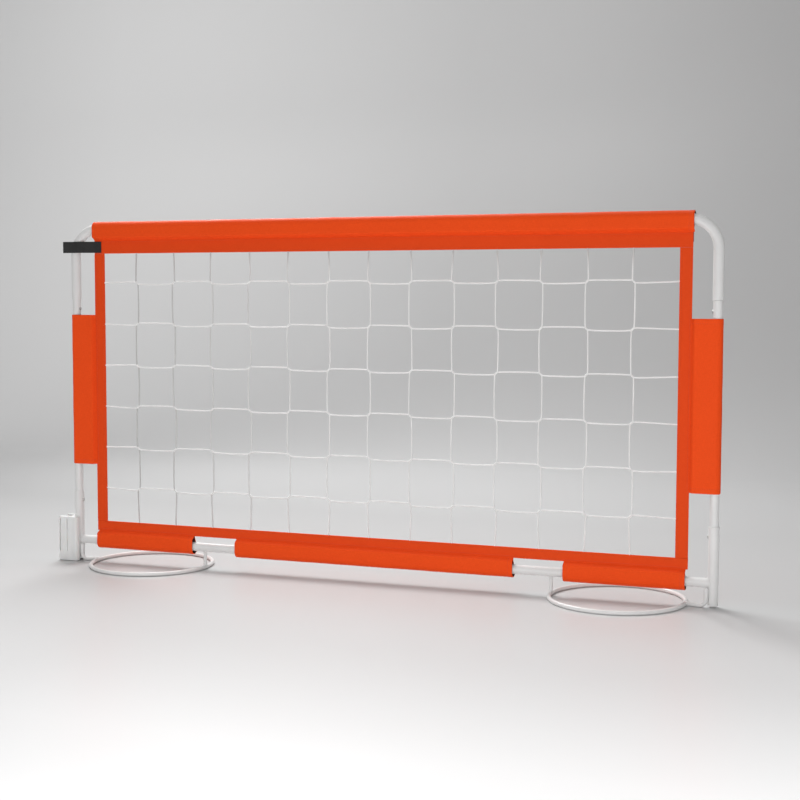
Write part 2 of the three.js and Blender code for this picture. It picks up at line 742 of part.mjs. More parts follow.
function addSocket(parent) {
  const s = socket;
  const low = s.bottom - 1;
  const high = s.bottom + s.height + 1;
  const postStart = new THREE.Vector3(-postX, 0, low);
  const postRoom = bar(tubes.cornerRadius + s.postClearance, postStart, postStart.clone().setZ(high));
  const channel = block(
    s.left - 1, s.channelEnd, -s.channelHalfWidth, s.channelHalfWidth, low, high,
  );
  const pocket = block(
    s.guestX - s.tongueHalfWidth - s.slotWidth / 2, s.guestX + s.tongueHalfWidth + s.slotWidth / 2,
    s.front + s.frontWall, 0, s.slotBottom, s.slotTop,
  );
  const rodStart = new THREE.Vector3(foot.postSideX - postX, foot.postSideY, low);
  const rodEnd = rodStart.clone().setZ(tubes.railAxisHeight);
  const rodRoom = bar(foot.rodRadius + s.rodClearance, rodStart, rodEnd);
  let body = socketBlock().subtract(postRoom).subtract(rodRoom);
  body = body.subtract(solid(channel)).subtract(solid(pocket));
  for (const direction of [-1, 1]) {
    const x = s.guestX + direction * s.tongueHalfWidth;
    const slot = block(
      x - s.slotWidth / 2, x + s.slotWidth / 2, s.front - 1, 0, s.slotBottom, s.slotTop,
    );
    body = body.subtract(solid(slot));
  }
  const screws = [];
  for (const height of s.screwHeights) {
    const at = (x) => new THREE.Vector3(x, 0, height);
    const headEnd = s.channelEnd - 1;
    body = body.subtract(bar(s.screwHeadRadius + gap, at(headEnd), at(s.channelEnd + 2.4), s.screwSides));
    body = body.subtract(bar(s.screwRadius + gap, at(headEnd), at(-postX), s.screwSides));
    const head = bar(s.screwHeadRadius, at(s.channelEnd + 0.2), at(s.channelEnd + 2.1), s.screwSides);
    const shank = bar(s.screwRadius, at(s.channelEnd + 1), at(s.channelEnd + s.screwReach), s.screwSides);
    screws.push(head.add(shank));
  }
  parent.add(piece("link_socket", geometryOf(body), "whitePlastic"));
  screws.forEach((screw, i) => {
    parent.add(piece(`link_socket_screw_${i + 1}`, geometryOf(screw), "steel"));
  });
}

// ---------------------------------------------------------------------------------------------
// The whole panel, set so that the middle of its footprint is the origin
// ---------------------------------------------------------------------------------------------

const panel = new THREE.Group();
panel.position.x = -footprintCentreX;
addTopCorners(panel);
addSidePosts(panel);
addLowerLegs(panel);
addBottomRails(panel);
addLegEndCaps(panel);
addSnapJoints(panel);
addRingFeet(panel);
addBorder(panel);
addSleeves(panel);
addNet(panel);
addStrap(panel);
addSocket(panel);

const goalPanel = new THREE.Group();
goalPanel.add(panel);
goalPanel.updateMatrixWorld(true);

export default goalPanel;
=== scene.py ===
"""Looks of the free-standing goal panel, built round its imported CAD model.

Lengths are millimetres in the panel's own coordinates (x = 0 midway between the posts, z = 0 the
floor) until place() turns them into metres in the model's frame.
"""

import math

import bmesh
import bpy
from mathutils import Matrix, Vector, noise


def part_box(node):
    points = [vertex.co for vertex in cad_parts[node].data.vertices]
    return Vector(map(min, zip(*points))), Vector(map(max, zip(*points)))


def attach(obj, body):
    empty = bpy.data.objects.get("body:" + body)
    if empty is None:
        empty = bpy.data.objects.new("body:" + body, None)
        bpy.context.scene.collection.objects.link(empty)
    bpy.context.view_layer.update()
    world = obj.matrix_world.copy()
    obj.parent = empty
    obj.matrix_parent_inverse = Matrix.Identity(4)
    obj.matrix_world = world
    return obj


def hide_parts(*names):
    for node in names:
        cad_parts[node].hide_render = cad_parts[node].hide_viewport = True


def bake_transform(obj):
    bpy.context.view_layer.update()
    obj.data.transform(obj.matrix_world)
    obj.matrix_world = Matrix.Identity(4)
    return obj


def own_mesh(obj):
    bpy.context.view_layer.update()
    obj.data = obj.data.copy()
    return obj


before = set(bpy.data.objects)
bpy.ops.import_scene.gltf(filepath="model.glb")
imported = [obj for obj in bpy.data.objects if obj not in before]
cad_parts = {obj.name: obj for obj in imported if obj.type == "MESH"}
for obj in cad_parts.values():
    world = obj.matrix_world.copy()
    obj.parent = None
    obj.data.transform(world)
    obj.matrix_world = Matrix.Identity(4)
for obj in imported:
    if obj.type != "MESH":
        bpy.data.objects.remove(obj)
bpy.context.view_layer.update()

# Dimensions, taken from the CAD nodes' boxes or repeated from the part's source

MM = 0.001


def box_mm(node):
    low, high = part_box(node)
    return [value / MM for value in low], [value / MM for value in high]


def middle_x(node):
    low, high = box_mm(node)
    return (low[0] + high[0]) / 2


PANEL_X = (middle_x("lower_leg_left") + middle_x("lower_leg_right")) / 2
POST_X = (middle_x("lower_leg_right") - middle_x("lower_leg_left")) / 2


def place(x, y, z):
    return Vector(((x + PANEL_X) * MM, y * MM, z * MM))


GAP = 0.3
LEG_RADIUS = 11.0  # of the top corners and the lower legs
SIDE_RADIUS = 9.5  # of the side posts
RAIL_RADIUS = 10.0
WALL = 1.0
SPIGOT_LENGTH = 48.0
SPIGOT_CLEARANCE = 0.4
BEND_RADIUS = 60.0
SNAP_DEPTH = 22.0
HOLE_RADIUS = 4.2
TOP_AXIS = box_mm("top_corner_left")[1][2] - LEG_RADIUS
RAIL_AXIS = 50.0
UPPER_JOINT = 620.0
LOWER_JOINT = 166.0

ROD_RADIUS = 4.5
UPRIGHT_RADIUS = 4.0
RING_RADIUS = 140.0
RING_X = middle_x("foot_ring_right") - PANEL_X
ROD_FROM_POST = Vector((12.2, -10.2))
ROD_TOP = 41.0
ROD_BEND = 14.0

BORDER_THICKNESS = 4.0
SHEET = 1.4
OPENING_HALF = 667.0
OPENING_BOTTOM = 97.2
OPENING_TOP = 726.4
OUTER_HALF = 693.0
OUTER_BOTTOM = 74.4
OUTER_TOP = 757.7
FOLD_RISE = 7.0  # of a sleeve's fold past the border's edge
CLOSURE_WIDTH = 18.0
CLOSURE_THICKNESS = 1.6

NET_MESH = 96.3
NET_COLUMNS = 13
NET_ROWS = 6
NET_X = -3.5
NET_Z = 417.7
CORD_RADIUS = 1.6
CORD_LAY = 3.2
# An upright cord's length is counted from here, which tells the material the two ways apart, so that it
# paints shade on the upright cords.
UPRIGHT_START = 1000 * CORD_LAY
KNOT_HALF = 3.4  # half of the short slanted joint where two cords pass through each other

STRAP_WIDTH = 26.0
STRAP_THICKNESS = 2.0
STRAP_BOTTOM = box_mm("link_strap")[0][2]
STRAP_SEWN_END = -674.0
STRAP_LEVEL_X = -734.0
STRAP_FREE_END = -771.0
STRAP_SEWN_Y = -3.3
STRAP_FRONT_Y = -12.7

SOCKET_LEFT = -786.5
SOCKET_RIGHT = -736.5
SOCKET_FRONT = -25.0
SOCKET_BACK = 20.0
SOCKET_COVER_BACK = -12.4
SOCKET_BOTTOM = 1.0
SOCKET_TOP = 105.0
SOCKET_CHANNEL_END = -761.4
SOCKET_GUEST_X = -773.0
SOCKET_TONGUE = 9.6
SOCKET_SLOT = 3.0
SOCKET_SLOT_SPAN = (22, 100)
SCREW_HEIGHTS = (34.0, 84.0)
SCREW_HOLE = 2.2

# Materials


class Shader:
    """A Principled material and short ways to add the nodes that drive it."""

    def __init__(self, name, **constants):
        self.material = bpy.data.materials.new(name)
        self.material.use_nodes = True
        self.nodes = self.material.node_tree.nodes
        self.links = self.material.node_tree.links
        self.shader = self.nodes["Principled BSDF"]
        for socket, value in constants.items():
            self.shader.inputs[socket.replace("_", " ")].default_value = value

    def node(self, kind, inputs, **settings):
        made = self.nodes.new(f"ShaderNode{kind}")
        for name, value in settings.items():
            setattr(made, name, value)
        for socket, value in inputs.items():
            if isinstance(value, bpy.types.NodeSocket):
                self.links.new(value, made.inputs[socket])
            else:
                made.inputs[socket].default_value = value
        return made.outputs

    def math(self, operation, first, second=0.0):
        return self.node("Math", {0: first, 1: second}, operation=operation)[0]

    def wave(self, value, length):
        """A sine with one wave in each length of the value."""
        return self.math("SINE", self.math("MULTIPLY", value, math.tau / length))

    def object_place(self, stretch=(1, 1, 1)):
        source = self.node("TexCoord", {})["Object"]
        return self.node("VectorMath", {0: source, 1: stretch}, operation="MULTIPLY")[0]

    def cloth_place(self, stretch=(1, 1, 1)):
        source = self.node("UVMap", {}, uv_map="cut")["UV"]
        return self.node("VectorMath", {0: source, 1: stretch}, operation="MULTIPLY")[0]

    def split(self, vector):
        return self.node("SeparateXYZ", {0: vector})

    def noise(self, vector, scale, detail=2.0, roughness=0.5):
        inputs = {"Vector": vector, "Scale": scale, "Detail": detail, "Roughness": roughness}
        return self.node("TexNoise", inputs)[0]

    def spread(self, value, low, high, to_low, to_high):
        inputs = {"Value": value, "From Min": low, "From Max": high}
        return self.node("MapRange", {**inputs, "To Min": to_low, "To Max": to_high})[0]

    def tint(self, factor, first, second):
        colours = [c if isinstance(c, bpy.types.NodeSocket) else (*c, 1) for c in (first, second)]
        inputs = {0: factor, 6: colours[0], 7: colours[1]}
        return self.node("Mix", inputs, data_type="RGBA")[2]

    def patches(self, value, first, second, low=0.3, high=0.7, share=1):
        """The first colour, with this share of the second where the value is high."""
        return self.tint(self.spread(value, low, high, 0, share), first, second)

    def bump(self, height, distance, strength, below=None):
        inputs = {"Height": height, "Distance": distance, "Strength": strength}
        if below is not None:
            inputs["Normal"] = below
        return self.node("Bump", inputs)[0]

    def finish(self, colour, roughness, normal=None):
        """Drives the shader and gives the material."""
        for socket, value in (("Base Color", colour), ("Roughness", roughness), ("Normal", normal)):
            if value is not None:
                self.links.new(value, self.shader.inputs[socket])
        return self.material


def grey(value):
    return (value, value, value)


def powder_coat():
    """White powder coating: a fine orange-peel skin, faint clouding, scuffs and a little floor dust."""
    s = Shader("white_tube", Specular_IOR_Level=0.45, Coat_Weight=0.12, Coat_Roughness=0.3)
    here = s.object_place()
    cloud = s.noise(here, 9, 3)
    white = s.patches(cloud, (0.74, 0.735, 0.73), (0.78, 0.775, 0.77))
    scuffed = s.spread(s.noise(s.object_place((1, 1, 0.35)), 240, 4, 0.65), 0.66, 0.74, 0, 0.35)
    white = s.tint(scuffed, white, (0.6, 0.59, 0.57))
    low_down = s.spread(s.split(here)[2], 0.0, 0.035, 0.16, 0)
    dust = s.math("MULTIPLY", low_down, s.noise(here, 70, 4))
    white = s.tint(dust, white, (0.4, 0.37, 0.34))
    rough = s.math("ADD", s.spread(cloud, 0.3, 0.7, 0.3, 0.38), scuffed)
    return s.finish(white, rough, s.bump(s.noise(here, 620, 2), 0.00012, 0.35))


def moulded_plastic():
    """White injection moulding: fine spark-eroded grain, faint flow lines, duller high spots."""
    s = Shader("white_plastic", Specular_IOR_Level=0.4, Subsurface_Weight=0.04)
    here = s.object_place()
    flow = s.noise(s.object_place((1, 1, 0.2)), 60, 3)
    white = s.patches(flow, (0.78, 0.78, 0.77), (0.83, 0.83, 0.825))
    dirt = s.math("MULTIPLY", s.spread(s.split(here)[2], 0, 0.03, 0.2, 0), s.noise(here, 90, 3))
    white = s.tint(dirt, white, (0.42, 0.4, 0.37))
    grain = s.bump(s.noise(here, 1500, 2), 0.00006, 0.5)
    return s.finish(white, s.spread(flow, 0.3, 0.7, 0.42, 0.52), grain)


def plain_weave(s):
    """The height of a plain weave: threads of each direction rise in turn."""
    pitch = 0.0009
    cut = s.split(s.cloth_place())
    along, across = [s.wave(cut[i], 2 * pitch) for i in (0, 1)]
    return s.math("MULTIPLY", s.math("MULTIPLY", along, across), 0.5)


def orange_fabric(name, depth):
    """Coated oxford cloth in orange: basket-like weave, slubs, faint handling creases and fading.

    depth scales the orange down; the doubled border's lower depth is painted shade, so it shows darker
    than the sleeves.
    """
    s = Shader(name, Specular_IOR_Level=0.14, Sheen_Weight=0.08, Sheen_Roughness=0.4,
               Sheen_Tint=(1.0, 0.35, 0.08, 1), Specular_Tint=(1.0, 0.62, 0.4, 1))
    weave = plain_weave(s)
    slubs = [s.noise(s.cloth_place(stretch), 900, 2) for stretch in ((0.12, 1, 1), (1, 0.12, 1))]
    threads = s.math("ADD", *slubs)
    cloud = s.noise(s.object_place(), 7, 4, 0.6)
    # Where depth is below 1 the orange is darkened: painted shade.
    orange = s.patches(
        cloud, (0.94 * depth, 0.084 * depth, 0.012), (0.97 * depth, 0.091 * depth, 0.014)
    )
    orange = s.patches(threads, orange, (0.72, 0.045, 0.004), 0.75, 1.25, 0.3)
    orange = s.tint(s.spread(weave, -0.5, 0.5, 0.16, 0), orange, (0.6, 0.03, 0.003))
    crease = s.bump(s.noise(s.object_place((0.6, 1, 1)), 26, 3, 0.55), 0.0016, 0.35)
    normal = s.bump(s.math("ADD", weave, threads), 0.00012, 0.55, crease)
    return s.finish(orange, s.spread(cloud, 0.3, 0.7, 0.5, 0.62), normal)


def painted_shade_lining():
    """Painted shade for the inside of the sleeves: black on the cloth's inner side, a matt skin with the
    weave just showing through.
    """
    s = Shader("painted_shade_lining", Specular_IOR_Level=0.15)
    cloud = s.noise(s.object_place(), 30, 3)
    black = s.tint(cloud, (0.02, 0.012, 0.01), (0.045, 0.03, 0.026))
    return s.finish(black, s.spread(cloud, 0.3, 0.7, 0.7, 0.85), s.bump(plain_weave(s), 0.0001, 0.5))


def thread():
    """Twisted polyester sewing thread, a shade deeper than the cloth."""
    s = Shader("orange_thread", Specular_IOR_Level=0.3, Sheen_Weight=0.2)
    fibres = s.noise(s.object_place(), 1800, 2)
    orange = s.tint(fibres, (0.5, 0.035, 0.006), (0.78, 0.085, 0.02))
    return s.finish(orange, s.spread(fibres, 0.3, 0.7, 0.5, 0.7), s.bump(fibres, 0.0001, 0.6))


def braided_cord():
    """White braided net cord: strands cross in two spirals. The upright cords carry painted shade:
    greyer towards the left and under the top border."""
    s = Shader("net_cord", Specular_IOR_Level=0.25, Sheen_Weight=0.15)
    cut = s.split(s.cloth_place())
    turn = s.math("MULTIPLY", cut[1], 4 * math.tau)
    run = s.math("MULTIPLY", cut[0], math.tau / (CORD_LAY * MM))
    spirals = [s.math("SINE", s.math(way, run, turn)) for way in ("ADD", "SUBTRACT")]
    strands = s.math("MAXIMUM", *spirals)
    here = s.object_place()
    fibres = s.noise(here, 2200, 3)
    white = s.patches(strands, (0.8, 0.795, 0.79), (0.93, 0.925, 0.92), -0.2, 0.9)
    white = s.patches(s.noise(here, 14, 3), white, (0.6, 0.59, 0.57), 0.4, 0.8, 0.22)
    # Painted shade on the upright cords: greyer towards the left and in a band under the top border.
    upright = s.math("GREATER_THAN", cut[0], UPRIGHT_START * MM / 2)
    axes = s.split(here)
    shade_to_left = s.spread(axes[0], -0.6, -0.1, 0.8, 0)
    hem = s.spread(axes[2], 0.68, 0.72, 0, 0.7)
    upright_shade = s.math("MULTIPLY", upright, s.math("MAXIMUM", shade_to_left, hem))
    white = s.tint(upright_shade, white, (0.48, 0.475, 0.47))
    normal = s.bump(s.math("ADD", strands, fibres), 0.00022, 0.6)
    return s.finish(white, s.spread(fibres, 0.3, 0.7, 0.6, 0.8), normal)


def black_webbing():
    """Black polypropylene webbing: ribbed weave along the strap, grey rubbing on the raised ribs."""
    s = Shader("black_webbing", Specular_IOR_Level=0.3, Sheen_Weight=0.15, Sheen_Roughness=0.4)
    cut = s.split(s.cloth_place())
    weave = s.math("MULTIPLY", s.wave(cut[0], 0.0021), s.wave(cut[1], 0.0016))
    here = s.object_place()
    fibres = s.noise(here, 1600, 2)
    black = s.patches(weave, grey(0.012), grey(0.036), -1, 1)
    black = s.patches(s.noise(here, 60, 3), black, grey(0.055), 0.45, 0.75, 0.3)
    normal = s.bump(s.math("ADD", weave, fibres), 0.0003, 0.6)
    return s.finish(black, s.spread(fibres, 0.3, 0.7, 0.6, 0.8), normal)


def hook_and_loop():
    """Black hook-and-loop tape: a dense nap of tiny loops with lint-grey tips."""
    s = Shader("hook_and_loop", Specular_IOR_Level=0.2, Sheen_Weight=0.3)
    here = s.object_place()
    loops = s.node("TexVoronoi", {"Vector": here, "Scale": 900.0})["Distance"]
    nap = s.noise(here, 500, 4, 0.7)
    black = s.patches(loops, grey(0.05), (0.012, 0.012, 0.013), 0, 0.7)
    black = s.patches(nap, black, grey(0.09), 0.55, 0.8, 0.4)
    normal = s.bump(s.math("SUBTRACT", nap, loops), 0.0006, 0.8)
    return s.finish(black, s.spread(nap, 0.3, 0.7, 0.8, 0.95), normal)


def bare_steel(name, colour, roughness):
    """Plated steel: fine drawn lines, small tarnish spots, uneven polish."""
    s = Shader(name, Metallic=1.0)
    drawn = s.noise(s.object_place((1, 1, 0.06)), 1400, 3)
    spots = s.noise(s.object_place(), 380, 4)
    darker = tuple(0.62 * value for value in colour)
    tone = s.patches(drawn, colour, darker, 0.35, 0.65, 0.5)
    tone = s.patches(spots, tone, (0.25, 0.22, 0.2), 0.6, 0.75, 0.5)
    rough = s.spread(spots, 0.3, 0.75, roughness, roughness + 0.2)
    return s.finish(tone, rough, s.bump(drawn, 0.00004, 0.4))


WHITE_TUBE = powder_coat()
WHITE_PLASTIC = moulded_plastic()
ORANGE = orange_fabric("orange_fabric", 1.0)
# The border strips get painted shade: their orange is kept darker than the sleeves'.
BORDER_ORANGE_SHADED = orange_fabric("border_fabric", 0.86)
SLEEVE_SHADE_LINING = painted_shade_lining()
THREAD = thread()
CORD = braided_cord()
WEBBING = black_webbing()
HOOKS = hook_and_loop()
BUTTON_STEEL = bare_steel("button_steel", (0.66, 0.66, 0.65), 0.22)
SPRING_STEEL = bare_steel("spring_steel", (0.42, 0.43, 0.46), 0.3)
SCREW_STEEL = bare_steel("screw_steel", (0.62, 0.62, 0.62), 0.28)

# Mesh helpers


def smooth_mesh(mesh, sharp_above=35):
    made = bmesh.new()
    made.from_mesh(mesh)
    bmesh.ops.recalc_face_normals(made, faces=made.faces)
    made.to_mesh(mesh)
    made.free()
    mesh.shade_smooth()
    mesh.set_sharp_from_angle(angle=math.radians(sharp_above))


def new_object(name, shape, material=None, sharp_above=35):
    """A mesh in metres. A shape is vertices, faces and cuts, and cuts, where there are any, holds one
    (along, across) pair for each corner of each face."""
    vertices, faces, cuts = shape
    mesh = bpy.data.meshes.new(name)
    mesh.from_pydata(vertices, [], faces)
    if cuts:
        layer = mesh.uv_layers.new(name="cut")
        for corner, pair in zip(layer.data, cuts):
            corner.uv = pair
    smooth_mesh(mesh, sharp_above)
    made = bpy.data.objects.new(name, mesh)
    bpy.context.scene.collection.objects.link(made)
    if material is not None:
        mesh.materials.append(material)
    return made


def finish_piece(made, node=None, body="frame"):
    """Rides a piece on its body. node is the CAD node that it replaces, if there is one."""
    if node:
        made.name = f"{node}_visual"
    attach(made, body)
    if node:
        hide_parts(node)
    return made


def make_piece(name, shape, material, sharp_above=35, body="frame"):
    """A whole piece that replaces the CAD node of its name."""
    return finish_piece(new_object(name, shape, material, sharp_above), name, body)


def make_trim(name, parts, material, sharp_above=80):
    """A piece that the CAD doesn't have, from several lofts."""
    return finish_piece(new_object(name, join_lofts(parts), material, sharp_above))


def heading(line, i):
    """The direction of a line of points at one of them, from its two neighbours."""
    return (line[min(i + 1, len(line) - 1)] - line[max(i - 1, 0)]).normalized()


def settle(made, sharp_above=35):
    """Applies a piece's modifiers to its mesh."""
    graph = bpy.context.evaluated_depsgraph_get()
    mesh = bpy.data.meshes.new_from_object(made.evaluated_get(graph))
    made.modifiers.clear()
    old = made.data
    made.data = mesh
    bpy.data.meshes.remove(old)
    smooth_mesh(mesh, sharp_above)


def cut_away(made, cutters, sharp_above=35):
    for cutter in cutters:
        change = made.modifiers.new("cut", "BOOLEAN")
        change.operation = "DIFFERENCE"
        change.solver = "EXACT"
        change.object = cutter
    bpy.context.view_layer.update()
    settle(made, sharp_above)
    for cutter in cutters:
        bpy.data.objects.remove(cutter)


def ring(centre, direction, normal, radius, sides):
    """A circle of points round centre, square to direction. normal is square to direction."""
    other = direction.cross(normal).normalized()
    points = []
    for k in range(sides):
        angle = math.tau * k / sides
        points.append(centre + radius * (math.cos(angle) * normal + math.sin(angle) * other))
    return points


def loft(rings, closed=False, lengths=None):
    """Faces between one ring of points and the next, with flat caps unless the loft is closed.

    With lengths, one for each ring, the faces also get their cuts.
    """
    sides = len(rings[0])
    count = len(rings)
    faces = []
    for i in range(count if closed else count - 1):
        near = i * sides
        far = ((i + 1) % count) * sides
        for k in range(sides):
            after = (k + 1) % sides
            faces.append((near + k, near + after, far + after, far + k))
    cuts = []
    if lengths:
        for near, far in zip(lengths, lengths[1:]):
            for k in range(sides):
                cuts += [(near, k / sides), (near, (k + 1) / sides)]
                cuts += [(far, (k + 1) / sides), (far, k / sides)]
        cuts += [(lengths[0], k / sides) for k in reversed(range(sides))]
        cuts += [(lengths[count - 1], k / sides) for k in range(sides)]
    if not closed:
        faces.append(tuple(reversed(range(sides))))
        faces.append(tuple(range((count - 1) * sides, count * sides)))
    return [point for points in rings for point in points], faces, cuts


def join_lofts(parts):
    """Several closed lofts as one mesh's vertices, faces and cuts."""
    vertices = []
    faces = []
    cuts = []
    for part_vertices, part_faces, part_cuts in parts:
        start = len(vertices)
        vertices += part_vertices
        faces += [tuple(start + index for index in face) for face in part_faces]
        cuts += part_cuts
    return vertices, faces, cuts


def bar(start, end, radius, sides=48):
    """A plain round cutter between two points in millimetres."""
    first = place(*start)
    last = place(*end)
    direction = (last - first).normalized()
    normal = direction.orthogonal().normalized()
    rings = [ring(point, direction, normal, radius * MM, sides) for point in (first, last)]
    return new_object("cutter", loft(rings))


def lathe(profile, origin, axis, sides=40):
    """Turns (radius, distance) pairs round an axis through origin, all in millimetres."""
    direction = Vector(axis).normalized()
    normal = direction.orthogonal().normalized()
    rings = []
    for radius, distance in profile:
        centre = place(*origin) + direction * distance * MM
        rings.append(ring(centre, direction, normal, radius * MM, sides))
    return loft(rings)


class Route:
    """A straight run, then optionally a round bend and another straight run, in millimetres."""

    def __init__(self, start, corner, end=None, bend=0.0):
        self.start = Vector(start)
        self.first = (Vector(corner) - self.start).normalized()
        self.bend = bend
        if end is None:
            self.second = self.first
            self.lead = (Vector(corner) - self.start).length
            self.length = self.lead
            self.normal = Vector((0, 1, 0))
            if abs(self.first.y) > 0.9:
                self.normal = Vector((1, 0, 0))
        else:
            self.second = (Vector(end) - Vector(corner)).normalized()
            self.lead = (Vector(corner) - self.start).length - bend
            tail = (Vector(end) - Vector(corner)).length - bend
            self.length = self.lead + bend * math.pi / 2 + tail
            self.normal = self.first.cross(self.second).normalized()
        self.bend_end = self.lead + bend * math.pi / 2

    def at(self, distance):
        if distance <= self.lead or self.bend == 0:
            return self.start + self.first * distance, self.first
        angle = min((distance - self.lead) / self.bend, math.pi / 2)
        point = self.start + self.first * (self.lead + self.bend * math.sin(angle))
        point = point + self.second * self.bend * (1 - math.cos(angle))
        direction = self.first * math.cos(angle) + self.second * math.sin(angle)
        return point + self.second * max(distance - self.bend_end, 0), direction

    def filled(self, profile, steps=22):
        """Adds the bend's steps to a list of (distance, radius) pairs."""
        if self.bend == 0:
            return profile
        arc = [self.lead + (self.bend_end - self.lead) * i / steps for i in range(steps + 1)]
        result = []
        for (a, radius_a), (b, radius_b) in zip(profile, profile[1:]):
            result.append((a, radius_a))
            for distance in arc:
                if min(a, b) + 0.01 < distance < max(a, b) - 0.01:
                    share = (distance - a) / (b - a)
                    result.append((distance, radius_a + share * (radius_b - radius_a)))
        result.append(profile[-1])
        return result

    def rings(self, profile, sides):
        result = []
        for distance, radius in profile:
            point, direction = self.at(distance)
            result.append(ring(place(*point), direction, self.normal, radius * MM, sides))
        return result


def make_tube(name, route, outside, inside, cutters):
    """A tube with a wall, less its cutters. Both profiles run from the route's start to its end."""
    outer = route.rings(route.filled(outside), 48)
    inner = route.rings(route.filled(inside), 48)
    made = new_object(name, loft(outer + inner[::-1], closed=True), WHITE_TUBE, 28)
    cut_away(made, cutters, 28)
    finish_piece(made, name)


def button_hole(x, z, way_x, way_z=0):
    return bar((x, 0, z), (x + 20 * way_x, 0, z + 20 * way_z), HOLE_RADIUS)


# Frame tubes


def spigot_radius(outer):
    """Of a spigot that goes into a tube of this outside radius."""
    return outer - WALL - SPIGOT_CLEARANCE


def spigot_outside(radius, small):
    """The reduced end: a chamfered tip, the spigot, a swaged shoulder and the full tube."""
    return [
        (0.0, small - 0.6), (0.8, small), (SPIGOT_LENGTH - 0.2, small),
        (SPIGOT_LENGTH, small + 0.25), (SPIGOT_LENGTH, radius - 0.3),
        (SPIGOT_LENGTH + 0.3, radius + 0.2), (SPIGOT_LENGTH + 0.8, radius + 0.4),
        (SPIGOT_LENGTH + 1.8, radius + 0.4), (SPIGOT_LENGTH + 2.4, radius),
    ]


def spigot_inside(radius, small):
    bore = small - WALL
    return [(0.0, bore), (SPIGOT_LENGTH + 2, bore), (SPIGOT_LENGTH + 4, radius - WALL)]


def lip_outside(radius, end):
    """The mouth: a rolled lip stands a little proud of the tube."""
    return [
        (end - 2.6, radius), (end - 2.2, radius + 0.3), (end - 1.6, radius + 0.5),
        (end - 0.7, radius + 0.5), (end - 0.2, radius + 0.3), (end, radius - 0.1),
    ]


def lip_inside(radius, end):
    return [(end - 0.8, radius - WALL), (end, radius - WALL + 0.35)]


def side_name(side):
    return "left" if side < 0 else "right"


def make_top_corner(side):
    """A bent tube. The left one also has a spigot at its far end, which the right one takes."""
    x = side * POST_X
    end_x = SPIGOT_LENGTH - GAP / 2 if side < 0 else GAP / 2
    start = (x, 0, UPPER_JOINT - SPIGOT_LENGTH)
    route = Route(start, (x, 0, TOP_AXIS), (end_x, 0, TOP_AXIS), BEND_RADIUS)
    outside = spigot_outside(LEG_RADIUS, spigot_radius(SIDE_RADIUS))
    inside = spigot_inside(LEG_RADIUS, spigot_radius(SIDE_RADIUS))
    if side < 0:
        for profile, spigot in ((outside, spigot_outside), (inside, spigot_inside)):
            far = spigot(LEG_RADIUS, spigot_radius(LEG_RADIUS))
            profile += [(route.length - distance, radius) for distance, radius in reversed(far)]
    else:
        outside += lip_outside(LEG_RADIUS, route.length)
        inside += lip_inside(LEG_RADIUS, route.length)
    make_tube(f"top_corner_{side_name(side)}", route, outside, inside, [
        button_hole(x, UPPER_JOINT - SNAP_DEPTH, -side), button_hole(SNAP_DEPTH, TOP_AXIS, 0, 1),
    ])


def make_side_post(side):
    """A plain tube. Its lower end stands inside the lower leg."""
    x = side * POST_X
    route = Route((x, 0, LOWER_JOINT - SPIGOT_LENGTH), (x, 0, UPPER_JOINT - GAP))
    end = route.length
    bore = SIDE_RADIUS - WALL
    outside = [(0, SIDE_RADIUS - 0.4), (0.5, SIDE_RADIUS), (end - 0.4, SIDE_RADIUS)]
    outside += [(end, SIDE_RADIUS - 0.3)]
    inside = [(0, bore + 0.2), (0.5, bore), (end, bore)]
    holes = [button_hole(x, z - SNAP_DEPTH, -side) for z in (LOWER_JOINT, UPPER_JOINT)]
    make_tube(f"side_post_{side_name(side)}", route, outside, inside, holes)


def make_lower_leg(side):
    x = side * POST_X
    route = Route((x, 0, 7.3), (x, 0, LOWER_JOINT - GAP))
    outside = [(0, LEG_RADIUS - 0.3), (0.3, LEG_RADIUS)] + lip_outside(LEG_RADIUS, route.length)
    inside = [(0, LEG_RADIUS - WALL)] + lip_inside(LEG_RADIUS, route.length)
    holes = [button_hole(x, LOWER_JOINT - SNAP_DEPTH, -side)]
    if side < 0:
        holes += [bar((x, 0, z), (x - 14, 0, z), SCREW_HOLE, 24) for z in SCREW_HEIGHTS]
    make_tube(f"lower_leg_{side_name(side)}", route, outside, inside, holes)


def make_bottom_rail(side):
    """Half of the bottom rail: a spigot or a mouth at the middle, a saddle cut at the leg."""
    saddle_end = side * (POST_X - LEG_RADIUS / 2)
    bore = RAIL_RADIUS - WALL
    if side < 0:
        route = Route((SPIGOT_LENGTH, 0, RAIL_AXIS), (saddle_end, 0, RAIL_AXIS))
        small = spigot_radius(RAIL_RADIUS)
        outside = spigot_outside(RAIL_RADIUS, small) + [(route.length, RAIL_RADIUS)]
        inside = spigot_inside(RAIL_RADIUS, small) + [(route.length, bore)]
    else:
        route = Route((saddle_end, 0, RAIL_AXIS), (GAP, 0, RAIL_AXIS))
        outside = [(0, RAIL_RADIUS)] + lip_outside(RAIL_RADIUS, route.length)
        inside = [(0, bore)] + lip_inside(RAIL_RADIUS, route.length)
    x = side * POST_X
    make_tube(f"bottom_rail_{side_name(side)}", route, outside, inside, [
        bar((x, 0, RAIL_AXIS - 30), (x, 0, RAIL_AXIS + 30), LEG_RADIUS + GAP, 64),
        button_hole(SNAP_DEPTH, RAIL_AXIS, 0, -1),
    ])


